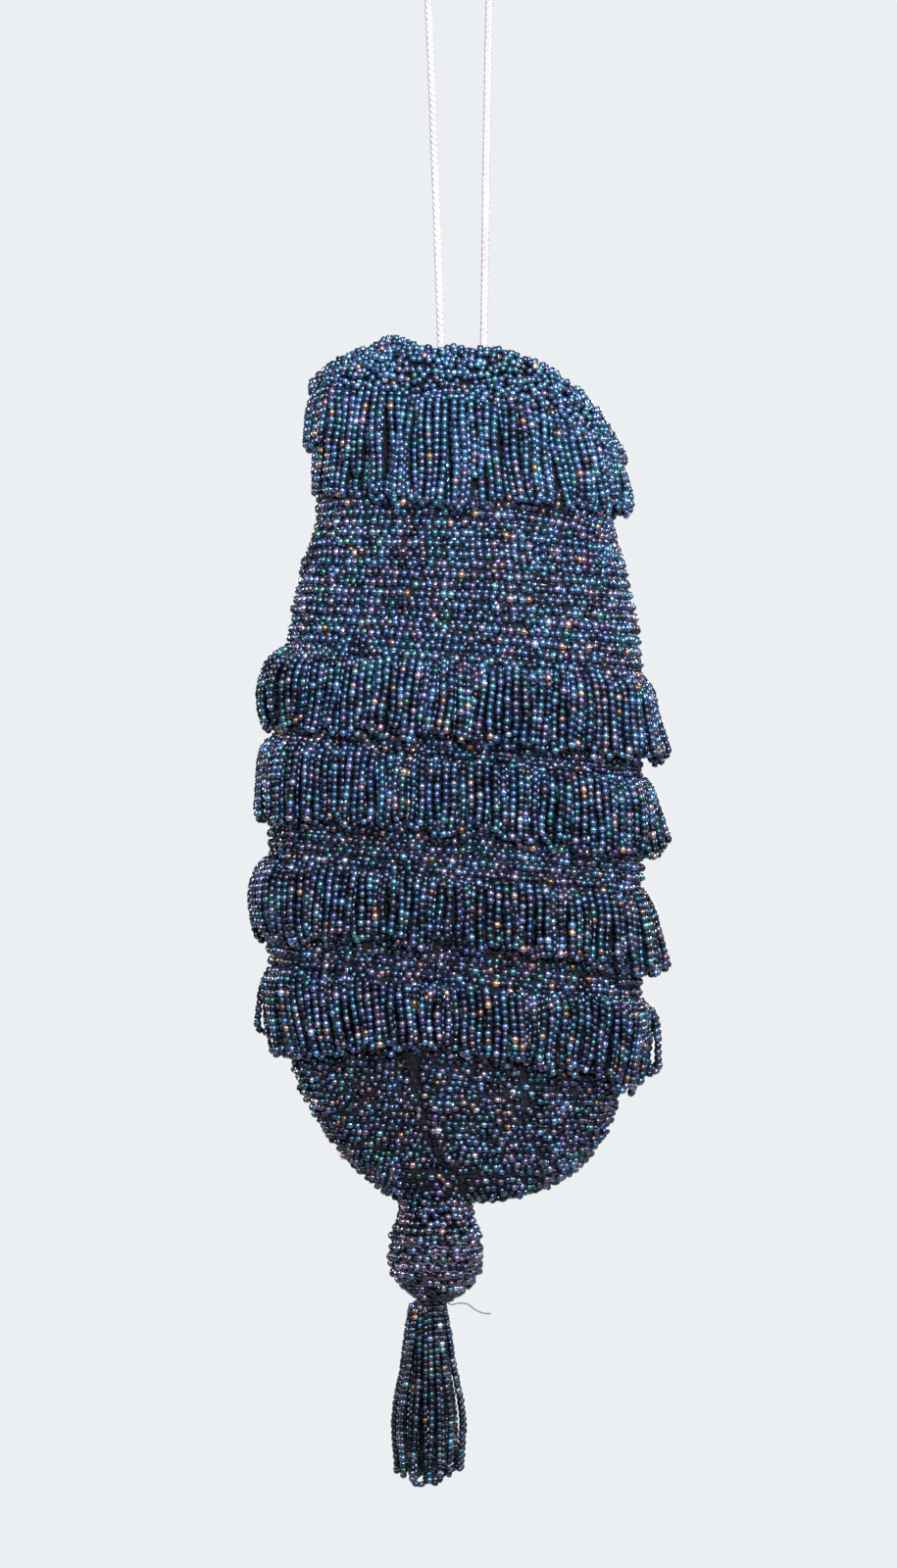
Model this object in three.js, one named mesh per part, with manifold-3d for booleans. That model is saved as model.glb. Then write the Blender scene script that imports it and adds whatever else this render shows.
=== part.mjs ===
// A beaded evening purse: a crocheted pouch with a looped cuff at its mouth, four tiers of looped
// fringe, a beaded ball and a bead tassel under it, hung from its drawstring.
// Millimetres, +Z up, the front faces -Y. The origin is the inside of the drawstring's loop,
// where the purse hangs.
import * as THREE from "three";
import Module from "manifold-3d";
import { mergeVertices } from "three/addons/utils/BufferGeometryUtils.js";

// Driving dimensions
const hangHeight = 110; // from the hanging loop down to the highest part of the front rim
const bodyLength = 234.4; // from there to the bottom of the pouch
const bodyWidth = 104; // the pouch at its widest
const bodyDepth = 42; // the pouch from front to back at its fullest
const wall = 2.4; // beaded crochet: a row of beads on its thread
const rimDrop = 25.4; // how far the right side of the mouth hangs below its middle
const rimFade = 0.25; // the share of the body over which that drop dies away
const foldDepth = 4; // the deepest fold in the bottom of the pouch
const foldWidth = 0.022; // a fold's half width, in turns round the body
const foldEase = 0.6; // below 1 a fold is near its full depth over most of its length
const fitGap = 0.45; // a fringe's heading stands this clear of the pouch
const seatGap = 0.3; // pieces that touch stand this far apart
const headThickness = 1.9; // a fringe's heading
const headHeight = 4;
const loopThickness = 3; // the bead loops of a fringe, lying over each other
const sideFlare = 7.5; // how far loops swing out at the two ends of the pouch
const middleFlare = 0.8; // and on its front and back
const flareEase = 4; // the higher, the nearer the flare keeps to the two ends
const hemVariation = 1; // loops end this much higher or lower than their neighbours
const locksRound = 36; // locks of loops in one tier
const lockShare = 0.82; // the share of its place that a lock fills
const lockUnevenness = 0.15; // how much closer together the locks are at the two ends
const lockProud = 0.25; // every second lock stands this far out
const hemShare = 0.55; // a lock's width at its rounded end
const cuffHeadingHeight = 12; // plain beaded rows above the cuff's loops, at the middle
const ballDiameter = 26.4;
const ballShift = -6.35; // the ball hangs this far left of the loop
const neckDiameter = 20; // where the ball is joined to the pouch
const tasselLength = 49.6;
const tasselTopWidth = 11.6;
const tasselBottomWidth = 20.8;
const tasselShift = -8.7;
const tasselHeadHeight = 3.5;
const tasselHeadTaper = 0.8; // its width on top as a share of its width at its foot
const tasselLocks = 12;
const tasselHemVariation = 2.5;
const innerLockReach = 0.42; // how far out the inner locks hang, as a share of the outer ones
const strandWidth = 4.2; // one bead loop of the tassel, two strands side by side
const strandThickness = 2.2;
const strandLevels = 4;
const cordDiameter = 2.1;
const cordEndGap = 0.4; // between the free cord's ends and its held run
const runBelowRim = 12; // the drawstring runs this far below the rim inside the mouth
const bodyColumns = 40; // faces round the pouch
const ballColumns = 20;
const ballRows = 12;
const cordSides = 8;
const cordSteps = 42;
const runSteps = 36;

// The pouch from the rim to the bottom. Down is a share of bodyLength, width and shift are
// shares of bodyWidth, and depth is a share of bodyDepth.
const sections = [
  { down: 0, width: 0.794, shift: 0.029, depth: 0.8 },
  { down: 0.044, width: 0.794, shift: 0.026, depth: 0.8 },
  { down: 0.107, width: 0.793, shift: 0.021, depth: 0.8 },
  { down: 0.159, width: 0.791, shift: 0.017, depth: 0.8 },
  { down: 0.188, width: 0.789, shift: 0.016, depth: 0.8 },
  { down: 0.251, width: 0.87, shift: 0.012, depth: 0.85 },
  { down: 0.297, width: 0.911, shift: 0.014, depth: 0.89 },
  { down: 0.343, width: 0.948, shift: 0.012, depth: 0.92 },
  { down: 0.389, width: 0.966, shift: 0.01, depth: 0.95 },
  { down: 0.447, width: 0.99, shift: -0.002, depth: 0.98 },
  { down: 0.585, width: 1, shift: -0.008, depth: 1 },
  { down: 0.712, width: 0.997, shift: -0.008, depth: 1 },
  { down: 0.758, width: 0.973, shift: -0.001, depth: 0.985 },
  { down: 0.82, width: 0.909, shift: 0.003, depth: 0.93 },
  { down: 0.858, width: 0.867, shift: 0.004, depth: 0.88 },
  { down: 0.901, width: 0.789, shift: 0.016, depth: 0.79 },
  { down: 0.941, width: 0.67, shift: 0.023, depth: 0.67 },
  { down: 0.972, width: 0.514, shift: 0.018, depth: 0.53 },
  { down: 0.9885, width: 0.37, shift: 0, depth: 0.38 },
  { down: 0.997, width: 0.2, shift: -0.035, depth: 0.22 },
];

// The rim from the right end of the mouth, across the front to the left end, and back behind.
// Drop is a share of rimDrop, and a turn is once round the mouth.
const rim = [
  { turn: 0, drop: 1 },
  { turn: 0.0625, drop: 0.78 },
  { turn: 0.125, drop: 0.42 },
  { turn: 0.1875, drop: 0.1 },
  { turn: 0.25, drop: 0 },
  { turn: 0.3125, drop: 0 },
  { turn: 0.375, drop: 0.05 },
  { turn: 0.4375, drop: 0.13 },
  { turn: 0.5, drop: 0.26 },
  { turn: 0.5625, drop: 0.1 },
  { turn: 0.615, drop: -0.05 },
  { turn: 0.6625, drop: -0.22 },
  { turn: 0.71, drop: -0.04 },
  { turn: 0.75, drop: 0.05 },
  { turn: 0.8125, drop: 0.15 },
  { turn: 0.875, drop: 0.45 },
  { turn: 0.9375, drop: 0.8 },
  { turn: 1, drop: 1 },
];

// Folds in the bottom of the pouch. Each starts at one turn and ends at another, its from and
// to are shares of bodyLength, and its depth is a share of foldDepth.
const folds = [
  { startTurn: 0.34, endTurn: 0.292, from: 0.785, to: 0.88, depth: 0.7 },
  { startTurn: 0.293, endTurn: 0.25, from: 0.83, to: 0.99, depth: 1 },
  { startTurn: 0.19, endTurn: 0.195, from: 0.78, to: 0.93, depth: 0.6 },
  { startTurn: 0.7, endTurn: 0.735, from: 0.8, to: 0.98, depth: 0.8 },
  { startTurn: 0.86, endTurn: 0.8, from: 0.82, to: 0.96, depth: 0.5 },
];

// The four tiers. Start is the middle of the heading and left, middle and right are the loops'
// reach, as shares of bodyLength. Tilt is the fall from left to right as a share of bodyWidth,
// and the flares are shares of sideFlare.
const tiers = [
  {
    name: "fringe_tier_2",
    start: 0.366,
    tilt: 0.082,
    left: 0.088,
    middle: 0.084,
    right: 0.092,
    flareLeft: -0.05,
    flareRight: 0.4,
  },
  {
    name: "fringe_tier_3",
    start: 0.476,
    tilt: 0.105,
    left: 0.092,
    middle: 0.082,
    right: 0.088,
    flareLeft: -0.05,
    flareRight: 0.4,
  },
  {
    name: "fringe_tier_4",
    start: 0.614,
    tilt: 0.09,
    left: 0.09,
    middle: 0.078,
    right: 0.092,
    flareLeft: 0.1,
    flareRight: 0.4,
  },
  {
    name: "fringe_tier_5",
    start: 0.741,
    tilt: 0.086,
    left: 0.096,
    middle: 0.075,
    right: 0.1,
    flareLeft: 0.75,
    flareRight: 0.9,
  },
];

// The cuff folds out over the rim. Its hem is a share of bodyLength below the front rim.
const cuff = { left: 0.159, middle: 0.178, right: 0.182, flareLeft: 0, flareRight: 0.1 };
const cuffHeadShares = { left: 0.35, middle: 1, right: 0.45 }; // of cuffHeadingHeight

// Half sections of a fringe: how far its outer and inner faces stand out as shares of
// loopThickness, its share of the flare, and a lock's width as a share of its place.
const fringeLevels = [
  { outer: headThickness / loopThickness, inner: 0, flare: 0, width: lockShare },
  { outer: (headThickness / loopThickness + 1) / 2, inner: 0, flare: 0.08, width: lockShare },
  { outer: 1, inner: 0, flare: 0.85, width: lockShare },
  { outer: 1, inner: 0.2, flare: 1, width: hemShare },
];

// The free drawstring from the left of the mouth up over its hanging loop and down again.
const cordRoute = [
  [-4.6, -12.9, -116],
  [-4.8, -12.3, -111],
  [-5.1, -11.1, -100],
  [-5.6, -9.4, -85],
  [-6.1, -7.8, -70],
  [-6.7, -6.1, -55],
  [-7.2, -4.4, -40],
  [-7.8, -2.9, -26],
  [-8.3, -1.5, -14],
  [-8.45, -0.8, -7.4],
  [-7.3, -0.3, -3.2],
  [-4.2, 0, -0.1],
  [0, 0, 1.05],
  [4.2, 0, -0.1],
  [7.3, -0.3, -3.2],
  [8.45, -0.8, -7.4],
  [8.4, -1.5, -14],
  [8.1, -2.9, -26],
  [7.9, -4.4, -40],
  [7.6, -6.1, -55],
  [7.4, -7.8, -70],
  [7.2, -9.4, -85],
  [7, -11.1, -100],
  [6.8, -12.3, -111],
  [6.75, -12.9, -116],
];

// The held run goes round the mouth between these turns. Each of its ends is turned up by a
// table of shares of cordDiameter.
const runTurns = { first: 0.315, last: 1.2 };
const runStops = 26;
const runEnd = [
  { aside: 0, forward: 0, down: 0 },
  { aside: 0, forward: 0.07, down: 0.71 },
  { aside: 0.52, forward: 0.1, down: 1.71 },
  { aside: 1.62, forward: 0.07, down: 2.48 },
];

const beads = new THREE.MeshStandardMaterial({ color: 0x161a35, roughness: 0.25, metalness: 0.5 });
const crochet = new THREE.MeshStandardMaterial({ color: 0x241c3a, roughness: 0.7, metalness: 0.1 });
const cordYarn = new THREE.MeshStandardMaterial({ color: 0xd9b7a8, roughness: 0.8, metalness: 0 });

const wasm = await Module();
wasm.setup();
const group = new THREE.Group();

// A column of a table at a place on another of its columns, straight between its rows.
function between(rows, key, at, column) {
  let i = 1;
  while (i < rows.length - 1 && rows[i][key] < at) {
    i += 1;
  }
  const [a, b] = [rows[i - 1], rows[i]];
  const share = THREE.MathUtils.clamp((at - a[key]) / (b[key] - a[key]), 0, 1);
  return THREE.MathUtils.lerp(a[column], b[column], share);
}

function rimDropAt(turn) {
  return rimDrop * between(rim, "turn", turn - Math.floor(turn), "drop");
}

function rimHeightAt(turn) {
  return -hangHeight - rimDropAt(turn);
}

// How deep the folds press the pouch in at one place.
function foldAt(down, turn) {
  let deep = 0;
  for (const fold of folds) {
    const along = (down - fold.from) / (fold.to - fold.from);
    if (along > 0 && along < 1) {
      const centre = THREE.MathUtils.lerp(fold.startTurn, fold.endTurn, along);
      const away = (turn - centre) / foldWidth;
      const swell = Math.sin(Math.PI * along) ** foldEase;
      deep += foldDepth * fold.depth * swell * Math.exp(-away * away);
    }
  }
  return deep;
}

// A point on the pouch, or a distance out from it. Scale shrinks the form about its own axis.
function onBody(down, turn, out, scale = { across: 1, through: 1 }) {
  const angle = 2 * Math.PI * turn;
  const a = (bodyWidth / 2) * between(sections, "down", down, "width") * scale.across;
  const b = (bodyDepth / 2) * between(sections, "down", down, "depth") * scale.through;
  const centre = bodyWidth * between(sections, "down", down, "shift");
  const normal = new THREE.Vector2(Math.cos(angle) / a, Math.sin(angle) / b).normalize();
  return new THREE.Vector2(
    centre + a * Math.cos(angle) + out * normal.x,
    -(b * Math.sin(angle) + out * normal.y),
  );
}

// Vertices and faces of one closed mesh. Rings run the way that turns do.
class Surface {
  points = [];
  faces = [];

  point(x, y, z) {
    this.points.push(x, y, z);
    return this.points.length / 3 - 1;
  }

  quad(a, b, c, d) {
    this.faces.push(a, b, c, b, d, c);
  }

  strip(upper, lower) {
    upper.forEach((a, i) => {
      const next = (i + 1) % upper.length;
      this.quad(a, upper[next], lower[i], lower[next]);
    });
  }

  fan(pole, ring, facesDown) {
    ring.forEach((a, i) => {
      const b = ring[(i + 1) % ring.length];
      this.faces.push(pole, facesDown ? a : b, facesDown ? b : a);
    });
  }

  geometry() {
    const made = new THREE.BufferGeometry();
    made.setAttribute("position", new THREE.Float32BufferAttribute(this.points, 3));
    made.setIndex(this.faces);
    made.computeVertexNormals();
    return made;
  }
}

function addMesh(name, geometry, material) {
  const mesh = new THREE.Mesh(geometry, material);
  mesh.name = name;
  group.add(mesh);
}

function solidFrom(geometry) {
  const bare = geometry.clone();
  bare.deleteAttribute("normal");
  bare.deleteAttribute("uv");
  const merged = mergeVertices(bare, 1e-4);
  return new wasm.Manifold(
    new wasm.Mesh({
      numProp: 3,
      vertProperties: new Float32Array(merged.attributes.position.array),
      triVerts: new Uint32Array(merged.index.array),
    }),
  );
}

function geometryFrom(solid) {
  const mesh = solid.getMesh();
  const made = new THREE.BufferGeometry();
  made.setAttribute("position", new THREE.Float32BufferAttribute(mesh.vertProperties, 3));
  made.setIndex(new THREE.Uint32BufferAttribute(mesh.triVerts, 1));
  made.computeVertexNormals();
  return made;
}

// The pouch: one skin inside, over the rim and down the outside.
function makeBody() {
  const surface = new Surface();
  const inside = {
    across: 1 - (2 * wall) / bodyWidth,
    through: 1 - (2 * wall) / bodyDepth,
    length: 1 - wall / bodyLength,
  };
  const outside = { across: 1, through: 1, length: 1 };
  const ring = (down, scale) => {
    const ids = [];
    for (let i = 0; i < bodyColumns; i += 1) {
      const turn = i / bodyColumns;
      const fade = Math.max(0, 1 - down / rimFade);
      const length = bodyLength * scale.length;
      const height = -hangHeight - length * down - rimDropAt(turn) * fade;
      const level = (-hangHeight - height) / length;
      const flat = onBody(level, turn, -foldAt(level, turn), scale);
      ids.push(surface.point(flat.x, flat.y, height));
    }
    return ids;
  };
  const innerRings = sections.map((row) => ring(row.down, inside)).reverse();
  const outerRings = sections.map((row) => ring(row.down, outside));
  const rings = [...innerRings, ...outerRings];
  rings.slice(1).forEach((lower, i) => surface.strip(rings[i], lower));
  const pole = (scale) =>
    surface.point(ballShift, 0, -hangHeight - bodyLength * scale.length);
  surface.fan(pole(inside), rings[0], false);
  surface.fan(pole(outside), rings[rings.length - 1], true);
  addMesh("bag_body", surface.geometry(), crochet);
}

// Left, middle or right, mixed by how far round the pouch a turn lies.
function bySide(row, turn) {
  const side = Math.cos(2 * Math.PI * turn);
  return THREE.MathUtils.lerp(row.middle, side > 0 ? row.right : row.left, side * side);
}

// How far out the loops swing at their hem.
function flareAt(row, turn) {
  const side = Math.cos(2 * Math.PI * turn);
  const share = side > 0 ? row.flareRight : row.flareLeft;
  return middleFlare + sideFlare * share * side ** flareEase;
}

// A repeatable share from -1 to 1 for the lock's own hem.
function unevenness(lock, seed) {
  return Math.sin(12.9 * lock + 4.1 * seed) * Math.cos(7.3 * lock + seed);
}

// A heading with locks of loops that hang from it, all one skin. Heights give the top of the
// heading, its foot and the hem at a turn.
function makeFringe(name, seed, row, heights) {
  const surface = new Surface();
  const outer = fringeLevels.map(() => []);
  const inner = fringeLevels.map(() => []);
  for (let lock = 0; lock < locksRound; lock += 1) {
    for (const edge of [-1, 1]) {
      fringeLevels.forEach((level, k) => {
        const even = (lock + 0.5 * (1 + edge * level.width)) / locksRound;
        const turn = even + (lockUnevenness * Math.sin(4 * Math.PI * even)) / (2 * Math.PI);
        const { top, foot, hem } = heights(turn);
        const end = hem + hemVariation * unevenness(lock, seed);
        const height = [top, foot, (foot + end) / 2, end][k];
        const down = (-hangHeight - height) / bodyLength;
        const clear = fitGap + flareAt(row, turn) * level.flare;
        const proud = k > 1 ? lockProud * (lock % 2) : 0;
        const far = onBody(down, turn, clear + loopThickness * level.outer + proud);
        const near = onBody(down, turn, clear + loopThickness * level.inner);
        outer[k].push(surface.point(far.x, far.y, height));
        inner[k].push(surface.point(near.x, near.y, height));
      });
    }
  }
  surface.strip(inner[1], inner[0]);
  surface.strip(inner[0], outer[0]);
  surface.strip(outer[0], outer[1]);
  for (let a = 0; a < 2 * locksRound; a += 2) {
    const b = a + 1;
    const next = (a + 2) % (2 * locksRound);
    surface.quad(outer[1][b], outer[1][next], inner[1][b], inner[1][next]);
    for (const k of [1, 2]) {
      surface.quad(outer[k][a], outer[k][b], outer[k + 1][a], outer[k + 1][b]);
      surface.quad(inner[k + 1][a], inner[k + 1][b], inner[k][a], inner[k][b]);
      surface.quad(inner[k][a], outer[k][a], inner[k + 1][a], outer[k + 1][a]);
      surface.quad(outer[k][b], inner[k][b], outer[k + 1][b], inner[k + 1][b]);
    }
    surface.quad(outer[3][a], outer[3][b], inner[3][a], inner[3][b]);
  }
  addMesh(name, surface.geometry(), beads);
}

function makeTier(row, seed) {
  makeFringe(row.name, seed, row, (turn) => {
    const across = Math.cos(2 * Math.PI * turn) / 2;
    const top = -hangHeight - bodyLength * row.start - bodyWidth * row.tilt * across;
    return { top, foot: top - headHeight, hem: top - bodyLength * bySide(row, turn) };
  });
}

function makeCuff() {
  makeFringe("cuff_fringe", 1, cuff, (turn) => {
    const top = rimHeightAt(turn) - seatGap;
    const foot = top - cuffHeadingHeight * bySide(cuffHeadShares, turn);
    return { top, foot, hem: -hangHeight - bodyLength * bySide(cuff, turn) };
  });
}

const ballRadius = ballDiameter / 2;
const ballCentre = -hangHeight - bodyLength - seatGap - ballRadius;

// The ball and, on top, the neck that joins it to the pouch.
function makeBall() {
  const neckRadius = neckDiameter / 2;
  const neckAngle = Math.acos(neckRadius / ballRadius);
  const profile = [new THREE.Vector2(0, -ballRadius)];
  for (let i = 1; i <= ballRows; i += 1) {
    const angle = THREE.MathUtils.lerp(-Math.PI / 2, neckAngle, i / ballRows);
    profile.push(new THREE.Vector2(ballRadius * Math.cos(angle), ballRadius * Math.sin(angle)));
  }
  profile.push(new THREE.Vector2(neckRadius, ballRadius), new THREE.Vector2(0, ballRadius));
  const ball = new THREE.LatheGeometry(profile, ballColumns);
  ball.rotateX(Math.PI / 2);
  ball.translate(ballShift, 0, ballCentre);
  addMesh("beaded_ball", geometryFrom(solidFrom(ball)), beads);
}

// The tassel: a tied head with bead loops that hang from it in two rounds.
function makeTassel() {
  const top = ballCentre - ballRadius - seatGap;
  const topRadius = tasselTopWidth / 2;
  const headTop = topRadius * tasselHeadTaper;
  const head = new THREE.CylinderGeometry(headTop, topRadius, tasselHeadHeight, tasselLocks);
  head.rotateX(Math.PI / 2);
  head.translate(tasselShift, 0, top - tasselHeadHeight / 2);
  let tassel = solidFrom(head);
  for (let i = 0; i < tasselLocks; i += 1) {
    const insideRound = i % 3 === 2;
    const angle = (2 * Math.PI * i) / tasselLocks;
    const reach = insideRound ? innerLockReach : 1;
    const startOut = reach * (topRadius - strandThickness / 2);
    const endOut = reach * (tasselBottomWidth / 2 - strandThickness / 2);
    const shorter = tasselHemVariation * (1 + unevenness(i, 2));
    const length = tasselLength - tasselHeadHeight / 2 - shorter;
    const strand = new THREE.BoxGeometry(strandThickness, strandWidth, length, 1, 1, strandLevels);
    const place = strand.attributes.position;
    for (let v = 0; v < place.count; v += 1) {
      const share = 0.5 - place.getZ(v) / length;
      const swing = THREE.MathUtils.lerp(startOut, endOut, Math.sin((share * Math.PI) / 2));
      const width = share < 1 ? (1 + share) / 2 : hemShare;
      place.setXYZ(v, place.getX(v) + swing, place.getY(v) * width, -share * length);
    }
    strand.rotateZ(angle);
    strand.translate(tasselShift, 0, top - tasselHeadHeight / 2);
    tassel = tassel.add(solidFrom(strand));
  }
  addMesh("tassel", geometryFrom(tassel), beads);
}

// A round cord through points, with flat ends.
function makeCord(name, points, steps) {
  const section = [];
  for (let i = 0; i < cordSides; i += 1) {
    const angle = (2 * Math.PI * i) / cordSides;
    section.push(
      new THREE.Vector2(Math.cos(angle), Math.sin(angle)).multiplyScalar(cordDiameter / 2),
    );
  }
  const path = new THREE.CatmullRomCurve3(points.map((p) => new THREE.Vector3(...p)));
  const settings = { steps, bevelEnabled: false, extrudePath: path };
  addMesh(name, new THREE.ExtrudeGeometry(new THREE.Shape(section), settings), cordYarn);
}

// The drawstring's held run, round the inside of the mouth, with both ends turned up under the
// free cord's two ends.
function makeDrawstringRun() {
  const scale = { across: 1 - (2 * wall) / bodyWidth, through: 1 - (2 * wall) / bodyDepth };
  const inward = -(cordDiameter / 2 + 2 * seatGap);
  const [left, right] = [cordRoute[0], cordRoute[cordRoute.length - 1]];
  const points = [];
  for (let i = 0; i <= runStops; i += 1) {
    const turn = THREE.MathUtils.lerp(runTurns.first, runTurns.last, i / runStops);
    const height = rimHeightAt(turn) - runBelowRim;
    const flat = onBody((-hangHeight - height) / bodyLength, turn, inward, scale);
    points.push([flat.x, flat.y, height]);
  }
  const turnedUp = ([x, y, z], side) =>
    runEnd.map((row) => [
      x + side * cordDiameter * row.aside,
      y - cordDiameter * row.forward,
      z - cordEndGap - cordDiameter * row.down,
    ]);
  const route = [...turnedUp(left, -1), ...points, ...turnedUp(right, 1).reverse()];
  makeCord("drawstring_run", route, runSteps);
}

makeBody();
makeCuff();
tiers.forEach((row, i) => makeTier(row, i + 2));
makeBall();
makeTassel();
makeCord("drawstring", cordRoute, cordSteps);
makeDrawstringRun();

export default group;
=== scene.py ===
# A beaded evening purse: crocheted pouch, looped cuff, four tiers of bead loops, ball and tassel.
# Sizes in the dictionaries are millimetres unless a note says otherwise, and turns run from the
# right end of the pouch (0) over its front (0.25) to its left end (0.5) and back behind.
import math

import bmesh
import bpy
import numpy as np
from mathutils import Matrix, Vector


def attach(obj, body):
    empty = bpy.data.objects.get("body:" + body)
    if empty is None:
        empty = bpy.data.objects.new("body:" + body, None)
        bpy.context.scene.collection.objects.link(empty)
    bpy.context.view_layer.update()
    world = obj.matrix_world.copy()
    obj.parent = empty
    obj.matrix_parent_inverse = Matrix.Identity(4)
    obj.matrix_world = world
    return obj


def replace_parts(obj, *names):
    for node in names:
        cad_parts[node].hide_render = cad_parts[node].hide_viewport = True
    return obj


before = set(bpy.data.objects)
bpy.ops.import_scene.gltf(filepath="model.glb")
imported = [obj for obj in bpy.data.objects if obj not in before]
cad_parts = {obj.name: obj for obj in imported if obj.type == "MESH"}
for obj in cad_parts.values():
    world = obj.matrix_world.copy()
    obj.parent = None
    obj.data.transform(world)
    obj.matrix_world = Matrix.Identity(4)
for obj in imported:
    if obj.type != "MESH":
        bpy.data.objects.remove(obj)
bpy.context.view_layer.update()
mm = 0.001
fullTurn = 2 * math.pi


# Camera at the photograph's height and framing

photoView = {"distance": 1300, "aimX": -2.8, "aimZ": -228, "lens": 108.3, "sensor": 36, "farthest": 50000}


def makeCamera(view):
    place = (view["aimX"] * mm, -view["distance"] * mm, view["aimZ"] * mm)
    bpy.ops.object.select_all(action="DESELECT")
    bpy.ops.object.camera_add(location=place, rotation=(math.pi / 2, 0, 0))
    camera = bpy.context.object
    camera.name = "photoCamera"
    camera.data.sensor_width = view["sensor"]
    camera.data.lens = view["lens"]
    camera.data.clip_end = view["farthest"] * mm
    bpy.context.scene.camera = camera


# Curves and meshes that several pieces use

# A smooth curve through a table's rows, read at x
def smoothAt(x, knots, values):
    knots = np.asarray(knots, float)
    values = np.asarray(values, float)
    steps = np.diff(knots)
    slopes = np.diff(values) / steps
    tangents = np.empty(len(knots))
    tangents[0] = slopes[0]
    tangents[-1] = slopes[-1]
    tangents[1:-1] = (slopes[:-1] * steps[1:] + slopes[1:] * steps[:-1]) / (steps[1:] + steps[:-1])
    x = np.clip(x, knots[0], knots[-1])
    i = np.clip(np.searchsorted(knots, x, side="right") - 1, 0, len(steps) - 1)
    t = (x - knots[i]) / steps[i]
    return (
        values[i] * (1 + 2 * t) * (1 - t) ** 2
        + values[i + 1] * t * t * (3 - 2 * t)
        + steps[i] * t * (1 - t) * (tangents[i] * (1 - t) - tangents[i + 1] * t)
    )


def unit(vectors):
    return vectors / np.maximum(np.linalg.norm(vectors, axis=-1, keepdims=True), 1e-9)


def distanceAlong(curve):
    return np.concatenate([[0], np.cumsum(np.linalg.norm(np.diff(curve, axis=0), axis=1))])


# Points every step along a line
def evenly(curve, step, start=0.0):
    reach = distanceAlong(curve)
    stops = np.arange(start, reach[-1], step)
    return np.stack([np.interp(stops, reach, curve[:, k]) for k in range(3)], axis=1)


def smoothRoute(points, step):
    finer = 4  # samples for each step, before they are spaced evenly
    points = np.asarray(points, float)
    knots = distanceAlong(points)
    fine = np.linspace(0, knots[-1], int(knots[-1] / step) * finer)
    curve = np.stack([smoothAt(fine, knots, points[:, k]) for k in range(3)], axis=1)
    return evenly(curve, step)


# Directions across a line, carried along it without twist
def carriedSides(curve):
    aside = [0.05, 1, 0.02]  # a direction that no line here starts along
    tangents = unit(np.gradient(curve, axis=0))
    sides = np.empty_like(curve)
    sides[0] = unit(np.cross(tangents[0], aside))
    for i in range(1, len(curve)):
        carried = sides[i - 1] - tangents[i] * np.dot(sides[i - 1], tangents[i])
        sides[i] = unit(carried)
    return sides


# A round tube, as points and sets of faces
def tube(curve, radius, corners, sides=None, closed=False):
    ahead = np.roll(curve, -1, 0) - np.roll(curve, 1, 0) if closed else np.gradient(curve, axis=0)
    tangents = unit(ahead)
    sides = carriedSides(curve) if sides is None else sides
    sides = unit(sides - tangents * np.sum(sides * tangents, axis=1, keepdims=True))
    ups = np.cross(tangents, sides)
    angles = fullTurn * np.arange(corners) / corners
    outward = np.cos(angles)[:, None] * sides[:, None] + np.sin(angles)[:, None] * ups[:, None]
    points = (curve[:, None] + radius * outward).reshape(-1, 3)
    rings = np.arange(len(points)).reshape(len(curve), corners)
    upper = rings if closed else rings[:-1]
    lower = np.roll(rings, -1, axis=0) if closed else rings[1:]
    walls = [upper, np.roll(upper, -1, 1), np.roll(lower, -1, 1), lower]
    faces = [np.stack(walls, -1).reshape(-1, 4)]
    if not closed:
        faces.append(np.stack([rings[0][::-1], rings[-1]]))
    return points, faces


def gather(parts):
    points = []
    faces = {}
    first = 0
    for partPoints, partFaces in parts:
        points.append(partPoints)
        for faceSet in partFaces:
            faces.setdefault(faceSet.shape[1], []).append(faceSet + first)
        first += len(partPoints)
    return np.concatenate(points), [np.concatenate(sets) for sets in faces.values()]


def makeMesh(name, points, faceSets, material, pointValues=None):
    mesh = bpy.data.meshes.new(name)
    corners = np.concatenate([faces.ravel() for faces in faceSets])
    sizes = np.concatenate([np.full(len(faces), faces.shape[1]) for faces in faceSets])
    mesh.vertices.add(len(points))
    mesh.vertices.foreach_set("co", (points * mm).ravel())
    mesh.loops.add(len(corners))
    mesh.loops.foreach_set("vertex_index", corners)
    mesh.polygons.add(len(sizes))
    mesh.polygons.foreach_set("loop_start", np.concatenate([[0], np.cumsum(sizes)[:-1]]))
    mesh.polygons.foreach_set("loop_total", sizes)
    mesh.polygons.foreach_set("use_smooth", np.ones(len(sizes), bool))
    for key, values in (pointValues or {}).items():
        layer = mesh.attributes.new(key, "FLOAT", "POINT")
        layer.data.foreach_set("value", np.asarray(values, np.float32))
    mesh.update(calc_edges=True)
    mesh.materials.append(material)
    piece = bpy.data.objects.new(name, mesh)
    bpy.context.scene.collection.objects.link(piece)
    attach(piece, "root")
    return piece


def selectVertices(piece, wanted):
    shape = bmesh.from_edit_mesh(piece.data)
    for vertex in shape.verts:
        vertex.select = bool(wanted(vertex.co))
    shape.select_flush_mode()
    bmesh.update_edit_mesh(piece.data)


def applyModifiers(piece):
    bpy.ops.object.select_all(action="DESELECT")
    piece.select_set(True)
    bpy.context.view_layer.objects.active = piece
    for modifier in list(piece.modifiers):
        bpy.ops.object.modifier_apply(modifier=modifier.name)


# Shader helpers

def addNode(tree, kind, inputs=None, **settings):
    node = tree.nodes.new(kind)
    for key, value in settings.items():
        setattr(node, key, value)
    for key, value in (inputs or {}).items():
        if isinstance(value, bpy.types.NodeSocket):
            tree.links.new(value, node.inputs[key])
        else:
            node.inputs[key].default_value = value
    return node


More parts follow.
